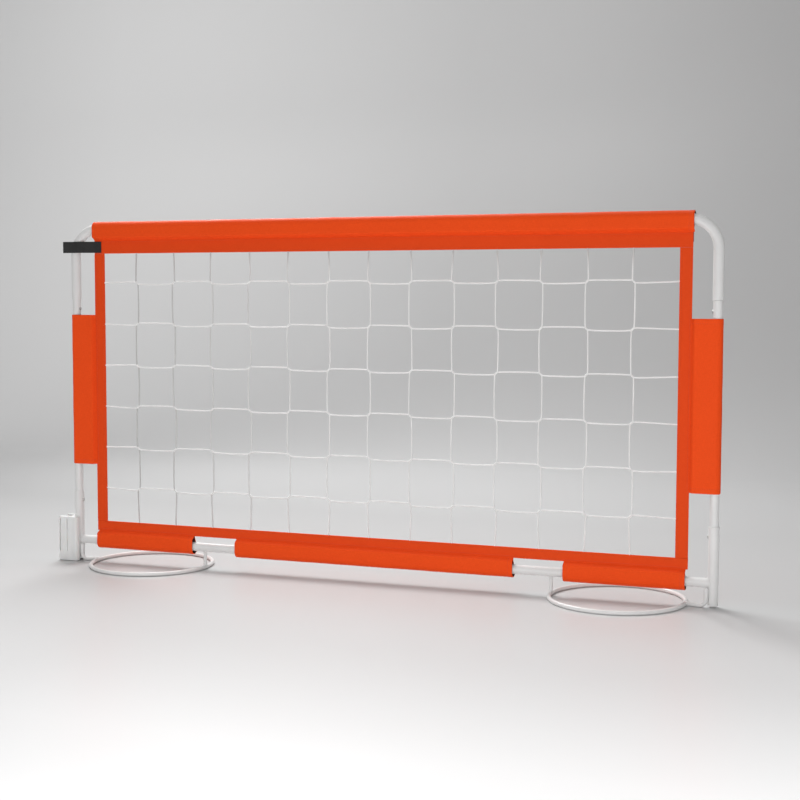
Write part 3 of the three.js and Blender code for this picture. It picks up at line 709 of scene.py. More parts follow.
def make_leg_end_cap(side):
    """A round foot cap: a rounded head under the tube and a plug with two grip ribs inside it."""
    plug = LEG_RADIUS - WALL - 0.35
    profile = [(0.6, 0.35), (6.5, 0.35), (7.2, 0.0), (9.4, 0.0), (10.3, 0.25), (10.8, 0.7)]
    profile += [(11.0, 1.3), (11.0, 2.6), (10.8, 3.0), (plug - 0.3, 3.0)]
    for rib in (5.4, 9.4):
        profile += [(plug - 0.3, rib), (plug, rib + 0.6), (plug - 0.3, rib + 1.2)]
    profile += [(plug - 0.6, 15.4), (plug - 1.2, 16.0), (0.6, 16.0)]
    shape = lathe(profile, (side * POST_X, 0, 4), (0, 0, 1), 48)
    make_piece(f"leg_end_cap_{side_name(side)}", shape, WHITE_PLASTIC)


# Snap buttons and their leaf springs


def snap_sizes(radii):
    """From the inner tube's bore and the outside radius of the tube that the button comes through."""
    bore, outer = radii
    flange_face = math.sqrt(bore ** 2 - 4.8 ** 2) - 0.5
    leaf_face = flange_face - 1.0 - GAP
    far_face = -(math.sqrt(bore ** 2 - 3.6 ** 2) - 0.4)
    return flange_face, leaf_face, far_face, outer + 2.4


def make_snap_button(name, radii, origin, direction):
    """A domed stud on a flange, turned in one piece."""
    flange_face, _, _, tip = snap_sizes(radii)
    profile = [(0.5, flange_face - 1.0), (4.5, flange_face - 1.0), (4.8, flange_face - 0.75)]
    profile += [(4.8, flange_face - 0.25), (4.5, flange_face), (3.8, flange_face)]
    dome = 2.3
    for i in range(9):
        angle = i / 8 * math.radians(84)
        profile.append((3.8 * math.cos(angle), tip - dome + dome * math.sin(angle)))
    shape = lathe(profile, origin, direction)
    make_piece(f"{name}_snap_button", shape, BUTTON_STEEL, 30, f"{name}_button")


def make_snap_spring(name, radii, origin, direction, up):
    """A leaf folded over on itself. The button's leaf gives towards the far wall when pressed."""
    _, leaf_face, far_face, _ = snap_sizes(radii)
    thickness = 0.6
    half_width = 3.6
    leaf = leaf_face - thickness / 2
    far = far_face + thickness / 2
    line = [Vector((leaf, -SNAP_DEPTH - 7 + 3 * i)) for i in range(6)]
    radius = (leaf - far) / 2
    for i in range(17):
        angle = math.pi * i / 16
        height = -SNAP_DEPTH + 10 + radius * math.sin(angle)
        line.append(Vector(((leaf + far) / 2 + radius * math.cos(angle), height)))
    line += [Vector((far, -SNAP_DEPTH + 7 - 3.2 * i)) for i in range(1, 4)]
    out = Vector(direction)
    along = Vector(up)
    across = along.cross(out)
    half_section = ((-1, -0.92), (-1, 0.92), (-0.5, 1), (0.5, 1))
    rings = []
    for i, spot in enumerate(line):
        way = heading(line, i)
        square = Vector((-way.y, way.x)) * thickness / 2
        corners = []
        for turn in (1, -1):
            for a, b in half_section:
                bend = spot + square * a * turn
                point = out * bend.x + along * bend.y + across * b * turn * half_width
                corners.append(place(*origin) + point * MM)
        rings.append(corners)
    made = make_piece(f"{name}_button_spring", loft(rings), SPRING_STEEL, 50)
    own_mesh(made)


def make_snap_joints():
    upper = (spigot_radius(SIDE_RADIUS) - WALL, SIDE_RADIUS)
    lower = (SIDE_RADIUS - WALL, LEG_RADIUS)
    top = (spigot_radius(LEG_RADIUS) - WALL, LEG_RADIUS)
    bottom = (spigot_radius(RAIL_RADIUS) - WALL, RAIL_RADIUS)
    for side in (-1, 1):
        inward = (-side, 0, 0)
        for level, radii, height in (("upper", upper, UPPER_JOINT), ("lower", lower, LOWER_JOINT)):
            name = f"{level}_{side_name(side)}"
            button_place = (side * POST_X, 0, height - SNAP_DEPTH)
            make_snap_button(name, radii, button_place, inward)
            make_snap_spring(name, radii, (side * POST_X, 0, height), inward, (0, 0, 1))
    for name, radii, height, way in (
        ("top_rail", top, TOP_AXIS, 1), ("bottom_rail", bottom, RAIL_AXIS, -1),
    ):
        make_snap_button(name, radii, (SNAP_DEPTH, 0, height), (0, 0, way))
        make_snap_spring(name, radii, (0, 0, height), (0, 0, way), (-1, 0, 0))


# Ring feet


def make_foot_ring(side):
    rings = []
    steps = 144
    for i in range(steps):
        angle = math.tau * i / steps
        outward = Vector((math.cos(angle), math.sin(angle), 0))
        direction = Vector((-math.sin(angle), math.cos(angle), 0))
        centre = Vector((side * RING_X, 0, ROD_RADIUS)) + outward * RING_RADIUS
        rings.append(ring(place(*centre), direction, outward, ROD_RADIUS * MM, 24))
    make_piece(f"foot_ring_{side_name(side)}", loft(rings, closed=True), WHITE_TUBE, 60)


def ring_top(side, x, y):
    """The height of the ring rod's upper surface at a place, in millimetres."""
    off = math.hypot(x - side * RING_X, y) - RING_RADIUS
    return ROD_RADIUS + math.sqrt(max(ROD_RADIUS ** 2 - off ** 2, 0.3))


def rail_underside(y):
    return RAIL_AXIS - math.sqrt(max(RAIL_RADIUS ** 2 - y ** 2, 0.0))


def make_foot_upright(side):
    """The short rod from the ring up to the rail, flared at both ends by its weld."""
    x = side * (RING_X - RING_RADIUS)
    levels = [(0.0, 3.9), (0.35, 3.3), (1.0, 1.5), (2.2, 0.5), (3.6, 0.0)]

    def section(flare, share, waves, shift):
        """The outline of the rod and its weld, as (x, y) from the rod's axis."""
        outline = []
        for k in range(32):
            angle = math.tau * k / 32
            ripple = 1 + 0.1 * math.sin(waves * angle + shift)
            reach = UPRIGHT_RADIUS + min(flare, 3.2) * ripple * share
            outline.append((reach * math.cos(angle), reach * math.sin(angle)))
        return outline

    rings = []
    for lift, flare in levels:
        inset = 0.62 if lift == 0 else 1.0
        rings.append([
            place(x + px * inset, py, ring_top(side, x + 0.55 * px, py) + lift - 0.2)
            for px, py in section(flare, 0.55, 9, 0)
        ])
    for lift, flare in reversed(levels):
        rings.append([
            place(x + px, py, rail_underside(py) - lift + 0.2)
            for px, py in section(flare, 0.45, 7, 1)
        ])
    make_piece(f"foot_upright_{side_name(side)}", loft(rings), WHITE_TUBE, 60)


def rod_top_place(side):
    return side * (POST_X - ROD_FROM_POST.x), ROD_FROM_POST.y


def make_foot_outer_rod(side):
    """The rod that stands beside the post, bends outward on the floor and meets the ring."""
    x, y = rod_top_place(side)
    ring_meet = Vector((side * (RING_X + RING_RADIUS), 0, ROD_RADIUS))
    route = Route((x, y, ROD_TOP), (x, y, ROD_RADIUS), ring_meet, ROD_BEND)
    end = route.length
    profile = [(0, 2.6), (0.5, 3.9), (1.3, ROD_RADIUS), (end - 9, ROD_RADIUS)]
    profile += [(end - 7, ROD_RADIUS + 0.25), (end - 5.2, ROD_RADIUS + 0.9)]
    rings = route.rings(route.filled(profile, 14), 28)
    centre = place(side * RING_X, 0, 0)
    last = []
    for point in rings[-1]:
        height = point.z / MM - ROD_RADIUS
        reach = RING_RADIUS + math.sqrt(max(ROD_RADIUS ** 2 - height ** 2, 0.4)) - 0.3
        out = Vector((point.x - centre.x, point.y - centre.y, 0))
        moved = centre + out.normalized() * reach * MM
        last.append(Vector((moved.x, moved.y, min(max(point.z, 0.0002), 0.0088))))
    for point in sum(rings, []):
        point.z = max(point.z, 0.00005)
    make_piece(f"foot_outer_rod_{side_name(side)}", loft(rings + [last]), WHITE_TUBE, 60)


def bead(name, line, radius, closed, ripple=0.12, pitch=2.2):
    """A weld bead along a line of millimetre points, with the small waves that a weld leaves."""
    rings = []
    count = len(line)
    run = 0.0
    for i, point in enumerate(line):
        before = line[(i - 1) % count] if closed else line[max(i - 1, 0)]
        after = line[(i + 1) % count] if closed else line[min(i + 1, count - 1)]
        direction = (after - before).normalized()
        normal = direction.orthogonal().normalized()
        run += (point - before).length if i else 0.0
        size = radius * (1 + ripple * math.sin(math.tau * run / pitch))
        if not closed:
            size *= min(1.0, 0.35 + 3.0 * min(i, count - 1 - i) / count)
        points = ring(place(*point), direction, normal, size * MM, 10)
        rings.append(align(rings[-1], points) if rings else points)
    finish_piece(new_object(name, loft(rings, closed), WHITE_TUBE, 80))


def align(before, points):
    """Turns a ring's numbering so that it starts nearest to where the last ring starts."""
    nearest = min(range(len(points)), key=lambda k: (points[k] - before[0]).length)
    turned = points[nearest:] + points[:nearest]
    other = [turned[0]] + turned[:0:-1]
    straight = sum((a - b).length for a, b in zip(before, turned))
    flipped = sum((a - b).length for a, b in zip(before, other))
    return turned if straight <= flipped else other


def make_weld_beads():
    for side in (-1, 1):
        saddle = []
        for i in range(72):
            angle = math.tau * i / 72
            y = (RAIL_RADIUS + 0.4) * math.sin(angle)
            z = RAIL_AXIS + (RAIL_RADIUS + 0.4) * math.cos(angle)
            reach = math.sqrt(max((LEG_RADIUS + 0.5) ** 2 - y ** 2, 9.0))
            saddle.append(Vector((side * (POST_X - reach), y, z)))
        bead(f"rail_weld_{side_name(side)}", saddle, 1.3, True)
        toward_post = Vector((side * ROD_FROM_POST.x, -ROD_FROM_POST.y, 0)).normalized()
        meet = Vector((*rod_top_place(side), 25)) + toward_post * (ROD_RADIUS + 0.2)
        line = [meet + Vector((0, 0, 0.55 * i)) for i in range(28)]
        bead(f"rod_weld_{side_name(side)}", line, 1.5, False)


# Fabric border

STITCH_FROM_OPENING = 4.5
STITCH_FROM_OUTER = 4.0
# A stitch is (share of its length, lift, thread radius) at each of its rings.
SHORT_STITCH = [(-0.5, -0.3, 0.16), (-0.3, 0.1, 0.27), (0.3, 0.1, 0.27), (0.5, -0.3, 0.16)]
STRAP_STITCH = [(-0.5, 0.3, 0.14), (-0.3, -0.06, 0.24), (0.3, -0.06, 0.24), (0.5, 0.3, 0.14)]
LONG_STITCH = [(-0.5, -0.35, 0.16), (-0.34, 0.1, 0.27), (0.0, 0.22, 0.3)]
LONG_STITCH += [(0.34, 0.1, 0.27), (0.5, -0.35, 0.16)]


def half_thickness(across, width):
    """Half of a border strip's thickness: a rolled edge at the opening, and a dip under each seam."""
    half = BORDER_THICKNESS / 2
    roll = 1.6
    if across < roll:
        half *= math.sqrt(max(1 - (1 - across / roll) ** 2, 0.0)) * 0.92 + 0.08
    for seam in (STITCH_FROM_OPENING, width - STITCH_FROM_OUTER):
        half -= 0.12 * math.exp(-(((across - seam) / 0.9) ** 2))
    return half


def strip_shares(width):
    shares = [0.0, 0.25, 0.7, 1.3, 2.2, 3.2]
    seam = STITCH_FROM_OPENING
    shares += [seam - 0.6, seam, seam + 0.6, seam + 1.6]
    other = width - STITCH_FROM_OUTER
    middle = [seam + 1.6 + (other - seam - 3.2) * i / 4 for i in range(1, 4)]
    shares += middle + [other - 1.6, other - 0.6, other, other + 0.6]
    shares += [width - 2.2, width - 1.3, width - 0.7, width - 0.25, width]
    return shares


def make_border_strip(name, start, along, across, length, width):
    """One strip. across points from the opening's edge to the outer edge."""
    shares = strip_shares(width)
    steps = max(int(length / 7), 8)
    rings = []
    for i in range(steps + 1):
        run = length * i / steps
        pinch = 0.75 if i in (0, steps) else 1.0
        points = []
        for facing in (-1, 1):
            for share in shares if facing < 0 else shares[::-1][1:-1]:
                base = start + along * run + across * share
                wave = noise.noise(base * 0.016) * 0.4 + noise.noise(base * 0.05) * 0.15
                depth = facing * half_thickness(share, width) * pinch + 0.35 * wave
                points.append(place(base.x, depth, base.z))
        rings.append(points)
    vertices, faces, _ = loft(rings)
    cuts = []
    for point in (vertices[index] for face in faces for index in face):
        local = Vector(((point.x / MM - PANEL_X), 0, point.z / MM)) - start
        cuts.append((local.dot(along) * MM, local.dot(across) * MM))
    return make_piece(name, (vertices, faces, cuts), BORDER_ORANGE_SHADED, 50)


def stitch(shape, length, pose):
    """One arched thread whose ends dive into the cloth.

    shape holds (share of the length, lift, radius), and pose(distance, lift) gives a place along the
    stitch with its direction and a normal.
    """
    rings = []
    for share, lift, size in shape:
        point, direction, normal = pose(share * length, lift)
        rings.append(ring(place(*point), direction, normal, size * MM, 6))
    return loft(rings)


def stitch_row(start, along, length, facing, depth, pitch=4.6):
    """A row of single stitches on a border strip."""
    parts = []
    count = int((length - 4) / pitch)
    spare = (length - count * pitch) / 2
    for i in range(count):
        middle = start + along * (spare + pitch * (i + 0.5))

        def pose(distance, lift):
            point = middle + along * distance
            point.y = facing * (depth + lift)
            return point, along, Vector((0, 1, 0))

        parts.append(stitch(LONG_STITCH, 3.4, pose))
    return parts


def make_border():
    """Four strips: the level ones run the whole width, and the upright ones stand between them."""
    whole = 2 * OUTER_HALF
    between = OPENING_TOP - OPENING_BOTTOM - 0.3
    right = Vector((1, 0, 0))
    up = Vector((0, 0, 1))
    specs = [("top", (-OUTER_HALF, OPENING_TOP), right, up, whole, OUTER_TOP - OPENING_TOP),
             ("bottom", (-OUTER_HALF, OPENING_BOTTOM), right, -up, whole, OPENING_BOTTOM - OUTER_BOTTOM)]
    for side in (-1, 1):
        corner = (side * OPENING_HALF, OPENING_BOTTOM + 0.15)
        specs.append((side_name(side), corner, up, right * side, between, OUTER_HALF - OPENING_HALF))
    for name, (x, z), along, across, length, width in specs:
        start = Vector((x, 0, z))
        made = make_border_strip(f"border_{name}", start, along, across, length, width)
        parts = []
        for share in (STITCH_FROM_OPENING, width - STITCH_FROM_OUTER):
            inset = 27.0 if name in ("top", "bottom") and share == STITCH_FROM_OPENING else 1.0
            row = start + across * share + along * inset
            depth = half_thickness(share, width) + 0.05
            for facing in (-1, 1):
                parts += stitch_row(row, along, length - 2 * inset, facing, depth)
        seams = make_trim(f"border_{name}_stitching", parts, THREAD)


# Sleeves and their closures


def sleeve_section(reach, radius):
    """The sheet's middle line: out from the border to a crisp fold, up the front, round the tube
    and down behind the border.

    The first axis points away from the net, the second to the back.
    """
    back = BORDER_THICKNESS / 2 + GAP + CLOSURE_THICKNESS + GAP + SHEET / 2
    start = Vector((0.12, -BORDER_THICKNESS / 2 + SHEET / 2))
    fold = Vector((FOLD_RISE, -(radius - 0.8)))
    centre = Vector((reach, 0))
    knee = Vector((0.0, back))

    def tangent_angle(point, turn):
        offset = point - centre
        return math.atan2(offset.y, offset.x) + turn * math.acos(radius / offset.length)

    first = tangent_angle(fold, 1)
    turn = (tangent_angle(knee, -1) - first) % math.tau
    arc = []
    for i in range(33):
        angle = first + turn * i / 32
        arc.append(centre + radius * Vector((math.cos(angle), math.sin(angle))))
    fold_in = fold.lerp(start, 1.0 / (start - fold).length)
    fold_out = fold.lerp(arc[0], 1.0 / (arc[0] - fold).length)
    line = [start, start.lerp(fold_in, 0.33), start.lerp(fold_in, 0.67), fold_in]
    line.append(fold_in * 0.25 + fold * 0.5 + fold_out * 0.25)
    line += [fold_out.lerp(arc[0], i / 5) for i in range(5)] + arc
    turn_in = knee.lerp(arc[-1], 2.5 / (knee - arc[-1]).length)
    line += [arc[-1].lerp(turn_in, i / 4) for i in range(1, 5)]
    turn_out = knee + Vector((-2.5, 0))
    line += [turn_in.lerp(knee, i / 4).lerp(knee.lerp(turn_out, i / 4), i / 4) for i in (1, 2, 3)]
    end = Vector((-CLOSURE_WIDTH - 2, back))
    return line + [turn_out.lerp(end, i / 5) for i in range(6)], centre


def outside_of(line, centre, i, spot, way):
    """A section's outward normal: away from the tube, or to the back along the flap."""
    square = Vector((way.y, -way.x))
    facing = square.y if i >= len(line) - 9 else square.dot(spot - centre)
    return -square if facing < 0 else square


def make_sleeve(name, outward, edge, reach, radius, length):
    """A sheet wrapped round a tube. Its ends are turned in and stitched, and it creases slightly."""
    line, centre = sleeve_section(reach, radius)
    along = outward.cross(Vector((0, 1, 0)))
    girth = [0.0]
    for a, b in zip(line, line[1:]):
        girth.append(girth[-1] + (b - a).length)
    hem = 11.0
    runs = [0.0, 0.6, 3.0, hem - 2.0, hem - 1.0, hem, hem + 1.2, hem + 5]
    inner_length = length - 2 * runs[-1]
    steps = max(int(inner_length / 9), 4)
    middle = [runs[-1] + inner_length * i / steps for i in range(1, steps)]
    runs = runs + middle + [length - run for run in reversed(runs)]
    outer = []
    inner = []
    for run in runs:
        end = min(run, length - run)
        thick = SHEET / 2
        if end <= hem:
            thick += 0.22
        if abs(end - (hem - 1.0)) < 0.1:
            thick -= 0.3
        if end < 0.1:
            thick *= 0.55
        for i, point in enumerate(line):
            square = outside_of(line, centre, i, point, heading(line, i))
            free = min(girth[i] / 8, 1.0) * min((girth[-1] - girth[i]) / 20, 1.0)
            key = Vector((run * 0.021, girth[i] * 0.045, hash_of(name)))
            crease = noise.noise(key) * 0.7 + noise.noise(key * 3.1) * 0.25
            push = max(free * (0.25 + 0.55 * crease) * min(end / 20, 1.0), -0.15)
            trim = 2.6 * min(max((girth[i] / girth[-1] - 0.55) / 0.2, 0.0), 1.0)
            base = edge + along * (run - length / 2) * (1 - 2 * trim / length)
            for layer, offset in ((outer, thick + push), (inner, -SHEET / 2 + push)):
                spot = point + square * offset
                layer.append(place(*(base + outward * spot.x + Vector((0, spot.y, 0)))))
    count = len(line)
    rows = len(runs)
    half = rows * count
    faces = []
    for r in range(rows - 1):
        for a in range(r * count, (r + 1) * count - 1):
            b = a + count
            faces += [(a, a + 1, b + 1, b), (half + a, half + b, half + b + 1, half + a + 1)]
        for a in (r * count, (r + 1) * count - 1):
            faces.append((a, a + count, half + a + count, half + a))
    for c in range(count - 1):
        for a in (c, half - count + c):
            faces.append((a, half + a, half + a + 1, a + 1))
    spots = [index % half for face in faces for index in face]
    cuts = [(runs[spot // count] * MM, girth[spot % count] * MM) for spot in spots]
    made = make_piece(f"{name}_sleeve", (outer + inner, faces, cuts), ORANGE, 60)
    # The sleeve's inner side is black: painted shade for the dark inside of the sleeve.
    made.data.materials.append(SLEEVE_SHADE_LINING)
    for face in made.data.polygons:
        if min(face.vertices) >= half:
            face.material_index = 1

    stitches = []
    for run in (hem - 1.0, length - hem + 1.0):
        base = edge + along * (run - length / 2)
        stitches += sleeve_stitches(line, centre, girth, base, outward, along)
    seams = make_trim(f"{name}_sleeve_stitching", stitches, THREAD)
    make_closure(name, outward, edge, along, length)


def hash_of(name):
    """A steady number for each name, so that no two sleeves crease alike."""
    return sum((i + 1) * ord(letter) for i, letter in enumerate(name)) % 97


def sleeve_stitches(line, centre, girth, base, outward, along, pitch=4.6):
    """Stitches round a sleeve's hem, on its outside."""
    parts = []
    for n in range(int((girth[-1] - 4) / pitch)):

        def pose(distance, lift):
            distance += 2 + pitch * (n + 0.5)
            i = min(sum(1 for value in girth if value <= distance), len(line) - 1) - 1
            spot = line[i].lerp(line[i + 1], (distance - girth[i]) / (girth[i + 1] - girth[i]))
            way = (line[i + 1] - line[i]).normalized()
            spot = spot + outside_of(line, centre, i, spot, way) * (SHEET / 2 + 0.02 + lift)
            world = base + outward * spot.x + Vector((0, spot.y, 0))
            return world, (outward * way.x + Vector((0, way.y, 0))).normalized(), along

        parts.append(stitch(SHORT_STITCH, 3.4, pose))
    return parts


def make_closure(name, outward, edge, along, length):
    """The hook-and-loop tape between the border and the sleeve's flap."""
    width = CLOSURE_WIDTH - 1
    back = BORDER_THICKNESS / 2 + GAP
    section = [(0.0, 0.35), (0.4, 0.0), (width - 0.4, 0.0), (width, 0.35), (width, 1.1)]
    section += [(width - 0.5, 1.5), (width * 0.75, 1.6), (width / 2, 1.6), (width * 0.25, 1.6)]
    section += [(0.5, 1.5), (0.0, 1.1)]
    steps = max(int(length / 12), 4)
    rings = []
    lengths = []
    for i in range(steps + 1):
        run = -length / 2 + 3 + (length - 6) * i / steps
        points = []
        for k, (a, b) in enumerate(section):
            nap = 0.12 * noise.noise(Vector((run * 0.2, k * 0.9, 3.0))) if b > 1.3 else 0.0
            lift = Vector((0, back + min(b + nap, 1.6), 0))
            points.append(place(*(edge + along * run + outward * (a - CLOSURE_WIDTH) + lift)))
        rings.append(points)
        lengths.append(run * MM)
    made = make_piece(f"{name}_sleeve_closure", loft(rings, lengths=lengths), HOOKS, 50)
    f"border_{name.split('_')[0]}_visual"


def make_sleeves():
    up = Vector((0, 0, 1))
    make_sleeve("top", up, Vector((1.7, 0, OUTER_TOP)), 786 - OUTER_TOP, 13.3, 1388.5)
    low, high = 231.8, 583.7
    for side in (-1, 1):
        outward = Vector((side, 0, 0))
        edge = Vector((side * OUTER_HALF, 0, (low + high) / 2))
        make_sleeve(side_name(side), outward, edge, POST_X - OUTER_HALF, 10.6, high - low)
    rails = ["bottom_rail_left_visual", "bottom_rail_right_visual"]
    for name, x0, x1, radius, held_by in (
        ("bottom_left", -689.0, -436.0, 12.9, rails[:1]),
        ("bottom_centre", -327.0, 327.0, 12.8, rails),
        ("bottom_right", 436.0, 689.0, 13.6, rails[1:]),
    ):
        edge = Vector(((x0 + x1) / 2, 0, OUTER_BOTTOM))
        make_sleeve(name, -up, edge, OUTER_BOTTOM - 46.2, radius, x1 - x0)


# Net


def knot_slope(column, row):
    """Which way a crossing slants: the net's joints lean to one side and the other in turn."""
    return 1 if (column + row) % 2 else -1


def crossing(column, row):
    x = NET_X + (column - (NET_COLUMNS - 1) / 2) * NET_MESH
    return Vector((x, 0, NET_Z - (row - (NET_ROWS - 1) / 2) * NET_MESH))


def knot_ends(column, row):
    """The centre of a crossing's joint and the offset to the joint's upper end."""
    offset = Vector((knot_slope(column, row) * KNOT_HALF * 0.72, 0, KNOT_HALF * 0.72))
    x = noise.noise(Vector((column, row, 0.5)))
    z = noise.noise(Vector((row, column, 7.5)))
    return crossing(column, row) + Vector((x, 0, z)) * 1.2, offset


def cord_end(column, row, way, side):
    """Where a cord leaves a joint (side 1) or reaches it (side -1), and its direction there."""
    centre, half = knot_ends(column, row)
    if half.dot(way) < 0:
        half = -half
    return centre + half * side, (way * 2 + half.normalized() * 0.8).normalized()


def cord_run(points, radius, run=0.0):
    """A round cord through a list of points in millimetres, its length counted from run."""
    rings = []
    lengths = []
    for i, point in enumerate(points):
        run += (point - points[max(i - 1, 0)]).length
        size = radius * (0.8 if i in (0, len(points) - 1) else 1.0)
        rings.append(ring(place(*point), heading(points, i), Vector((0, 1, 0)), size * MM, 12))
        lengths.append(run * MM)
    return loft(rings, lengths=lengths)


def curve_between(start, end, bow, steps=14):
    """A smooth cord from one joint to the next, leaving each along its own slant."""
    (start, start_way), (end, end_way) = start, end
    span = (end - start).length
    first = start + start_way * span * 0.07 + bow * 0.7
    second = end - end_way * span * 0.07 + bow * 0.7
    points = []
    for i in range(steps + 1):
        t = i / steps
        point = start * (1 - t) ** 3 + first * 3 * t * (1 - t) ** 2
        points.append(point + second * 3 * t ** 2 * (1 - t) + end * t ** 3)
    return points


def make_net():
    """A knotless net: at each crossing the two cords run together along a short slanted joint."""
    parts = []
    down = Vector((0, 0, -1))
    right = Vector((1, 0, 0))
    hem = 2.2
    for column in range(NET_COLUMNS):
        x = crossing(column, 0).x
        for row in range(NET_ROWS + 1):
            start = Vector((x - knot_slope(column, 1) * 0.5, 0, OPENING_TOP + hem)), down
            end = Vector((x, 0, OPENING_BOTTOM - hem)), down
            if row > 0:
                start = cord_end(column, row - 1, down, 1)
            if row < NET_ROWS:
                end = cord_end(column, row, down, -1)
            bow = Vector((1.4 * noise.noise(Vector((column * 1.7, row * 2.3, 4.0))), 0, 0))
            parts.append(cord_run(curve_between(start, end, bow), CORD_RADIUS, UPRIGHT_START))
    for row in range(NET_ROWS):
        z = crossing(0, row).z
        for column in range(NET_COLUMNS + 1):
            start = Vector((-OPENING_HALF - hem, 0, z)), right
            end = Vector((OPENING_HALF + hem, 0, z)), right
            if column > 0:
                start = cord_end(column - 1, row, right, 1)
            if column < NET_COLUMNS:
                end = cord_end(column, row, right, -1)
            sag = noise.noise(Vector((column * 2.1, row * 1.3, 9.0)))
            bow = Vector((0, 0, 0.9 * sag - 0.8))
            parts.append(cord_run(curve_between(start, end, bow), CORD_RADIUS))
    for column in range(NET_COLUMNS):
        for row in range(NET_ROWS):
            parts.append(knot(*knot_ends(column, row)))
    make_piece("net", join_lofts(parts), CORD, 80)


def knot(centre, offset):
    """The short joint, a little thicker than a cord, where the strands pass through each other."""
    rings = []
    lengths = []
    direction = offset.normalized()
    half = [(1.25, 0.7), (1.05, 1.1), (0.6, 1.32)]
    for share, size in [(-share, size) for share, size in half] + [(0, 1.38)] + half[::-1]:
        radius = CORD_RADIUS * size * MM
        rings.append(ring(place(*(centre + offset * share)), direction, Vector((0, 1, 0)), radius, 12))
        lengths.append(share * offset.length * MM)
    return loft(rings, lengths=lengths)


# Linking strap


def strap_line():
    """The strap's middle line in plan: sewn flat to the border, then forward past the post."""
    points = [Vector((STRAP_SEWN_END - 4.4 * i, STRAP_SEWN_Y)) for i in range(4)]
    bends = [
        Vector((-691.6, STRAP_SEWN_Y)), Vector((-697, STRAP_SEWN_Y - 1.0)),
        Vector((-710, -7.4)), Vector((-722, -11.2)), Vector((STRAP_LEVEL_X, STRAP_FRONT_Y)),
    ]
    for a, b in zip(bends, bends[1:]):
        points += [a.lerp(b, i / 4) for i in range(4)]
    points += [bends[-1].lerp(Vector((STRAP_FREE_END, STRAP_FRONT_Y)), i / 8) for i in range(9)]
    for _ in range(2):
        inner = [(a + b * 2 + c) / 4 for a, b, c in zip(points, points[1:], points[2:])]
        points = [points[0]] + inner + [points[-1]]
    return points


def make_strap():
    line = strap_line()
    half = STRAP_THICKNESS / 2
    shares = [0, 0.3, 1.0, 2.4, 5, 9, 13, 17, 21, 23.6, 25.0, 25.7, 26.0]
    rings = []
    lengths = []
    run = 0.0
    for i, spot in enumerate(line):
        way = heading(line, i)
        square = Vector((way.y, -way.x))
        run += (spot - line[max(i - 1, 0)]).length
        pinch = 0.7 if i in (0, len(line) - 1) else 1.0
        points = []
        for facing in (-1, 1):
            for share in shares if facing < 0 else shares[::-1][1:-1]:
                edge = min(share, STRAP_WIDTH - share)
                thick = half * (0.55 + 0.45 * min(edge / 1.2, 1.0)) * pinch
                if 2 < edge < 3:
                    thick -= 0.12
                points.append(place(*(spot + square * facing * thick), STRAP_BOTTOM + share))
        rings.append(points)
        lengths.append(run * MM)
    vertices, faces, _ = loft(rings)
    corners = [index for face in faces for index in face]
    cuts = [(lengths[index // len(rings[0])], vertices[index].z) for index in corners]
    made = new_object("link_strap", (vertices, faces, cuts), WEBBING, 60)
    made.name = "link_strap_visual"
    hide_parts("link_strap", "link_strap_anchor")
    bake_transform(made)
    box_stitch = make_strap_stitching()
    make_hook_patch()


def make_strap_stitching():
    """A sewn box with a cross in it, where the strap is fixed to the border."""
    left = -690.5
    right = STRAP_SEWN_END - 2.5
    low = STRAP_BOTTOM + 4
    high = STRAP_BOTTOM + STRAP_WIDTH - 4
    y = STRAP_SEWN_Y - STRAP_THICKNESS / 2
    corners = [Vector((x, y, z)) for x, z in ((left, low), (right, low), (right, high), (left, high))]
    parts = []
    for first, last in ((0, 1), (1, 2), (2, 3), (3, 0), (0, 2), (1, 3)):
        start, end = corners[first], corners[last]
        along = (end - start).normalized()
        count = max(int((end - start).length / 3.0), 1)
        for i in range(count):
            middle = start.lerp(end, (i + 0.5) / count)

            def pose(distance, lift):
                return middle + along * distance + Vector((0, lift, 0)), along, Vector((0, 1, 0))

            parts.append(stitch(STRAP_STITCH, 2.3, pose))
    return make_trim("link_strap_stitching", parts, WEBBING)


def make_hook_patch():
    low, high = box_mm("link_strap_hook_patch")
    x0, x1 = low[0] - PANEL_X, high[0] - PANEL_X
    (y0, z0), (y1, z1) = low[1:], high[1:]
    rings = []
    steps = 12
    for i in range(steps + 1):
        x = x0 + (x1 - x0) * i / steps
        pinch = 0.5 if i in (0, steps) else 0.0
        points = [place(x, y0 + dy, z0 + dz + pinch * 0.6) for dz, dy in ((0.0, 0.3), (0.4, 0.0))]
        points += [place(x, y0 + dy, z1 - dz - pinch * 0.6) for dz, dy in ((0.4, 0.0), (0.0, 0.3))]
        for k in range(9):
            z = z1 + (z0 - z1) * k / 8
            nap = noise.noise(Vector((x * 0.7, z * 0.7, 1.0))) * 0.15
            points.append(place(x, y1 - 0.15 - abs(nap) - pinch * 0.5, z))
        rings.append(points)
    shape = loft(rings, lengths=range(steps + 1))
    made = make_piece("link_strap_hook_patch", shape, HOOKS, 60, "link_strap")


# Linking socket


def prism(outline, bottom, top):
    """An upright prism over a plan outline, in millimetres."""
    return new_object("prism", loft([[place(x, y, z) for x, y in outline] for z in (bottom, top)]))


def rectangle(x0, x1, y0, y1):
    return [(x0, y0), (x1, y0), (x1, y1), (x0, y1)]


def quarter(cx, cy, radius, start):
    """A quarter circle of plan points, from an angle in quarter turns."""
    points = []
    for i in range(9):
        angle = (start + i / 8) * math.pi / 2
        points.append((cx + radius * math.cos(angle), cy + radius * math.sin(angle)))
    return points


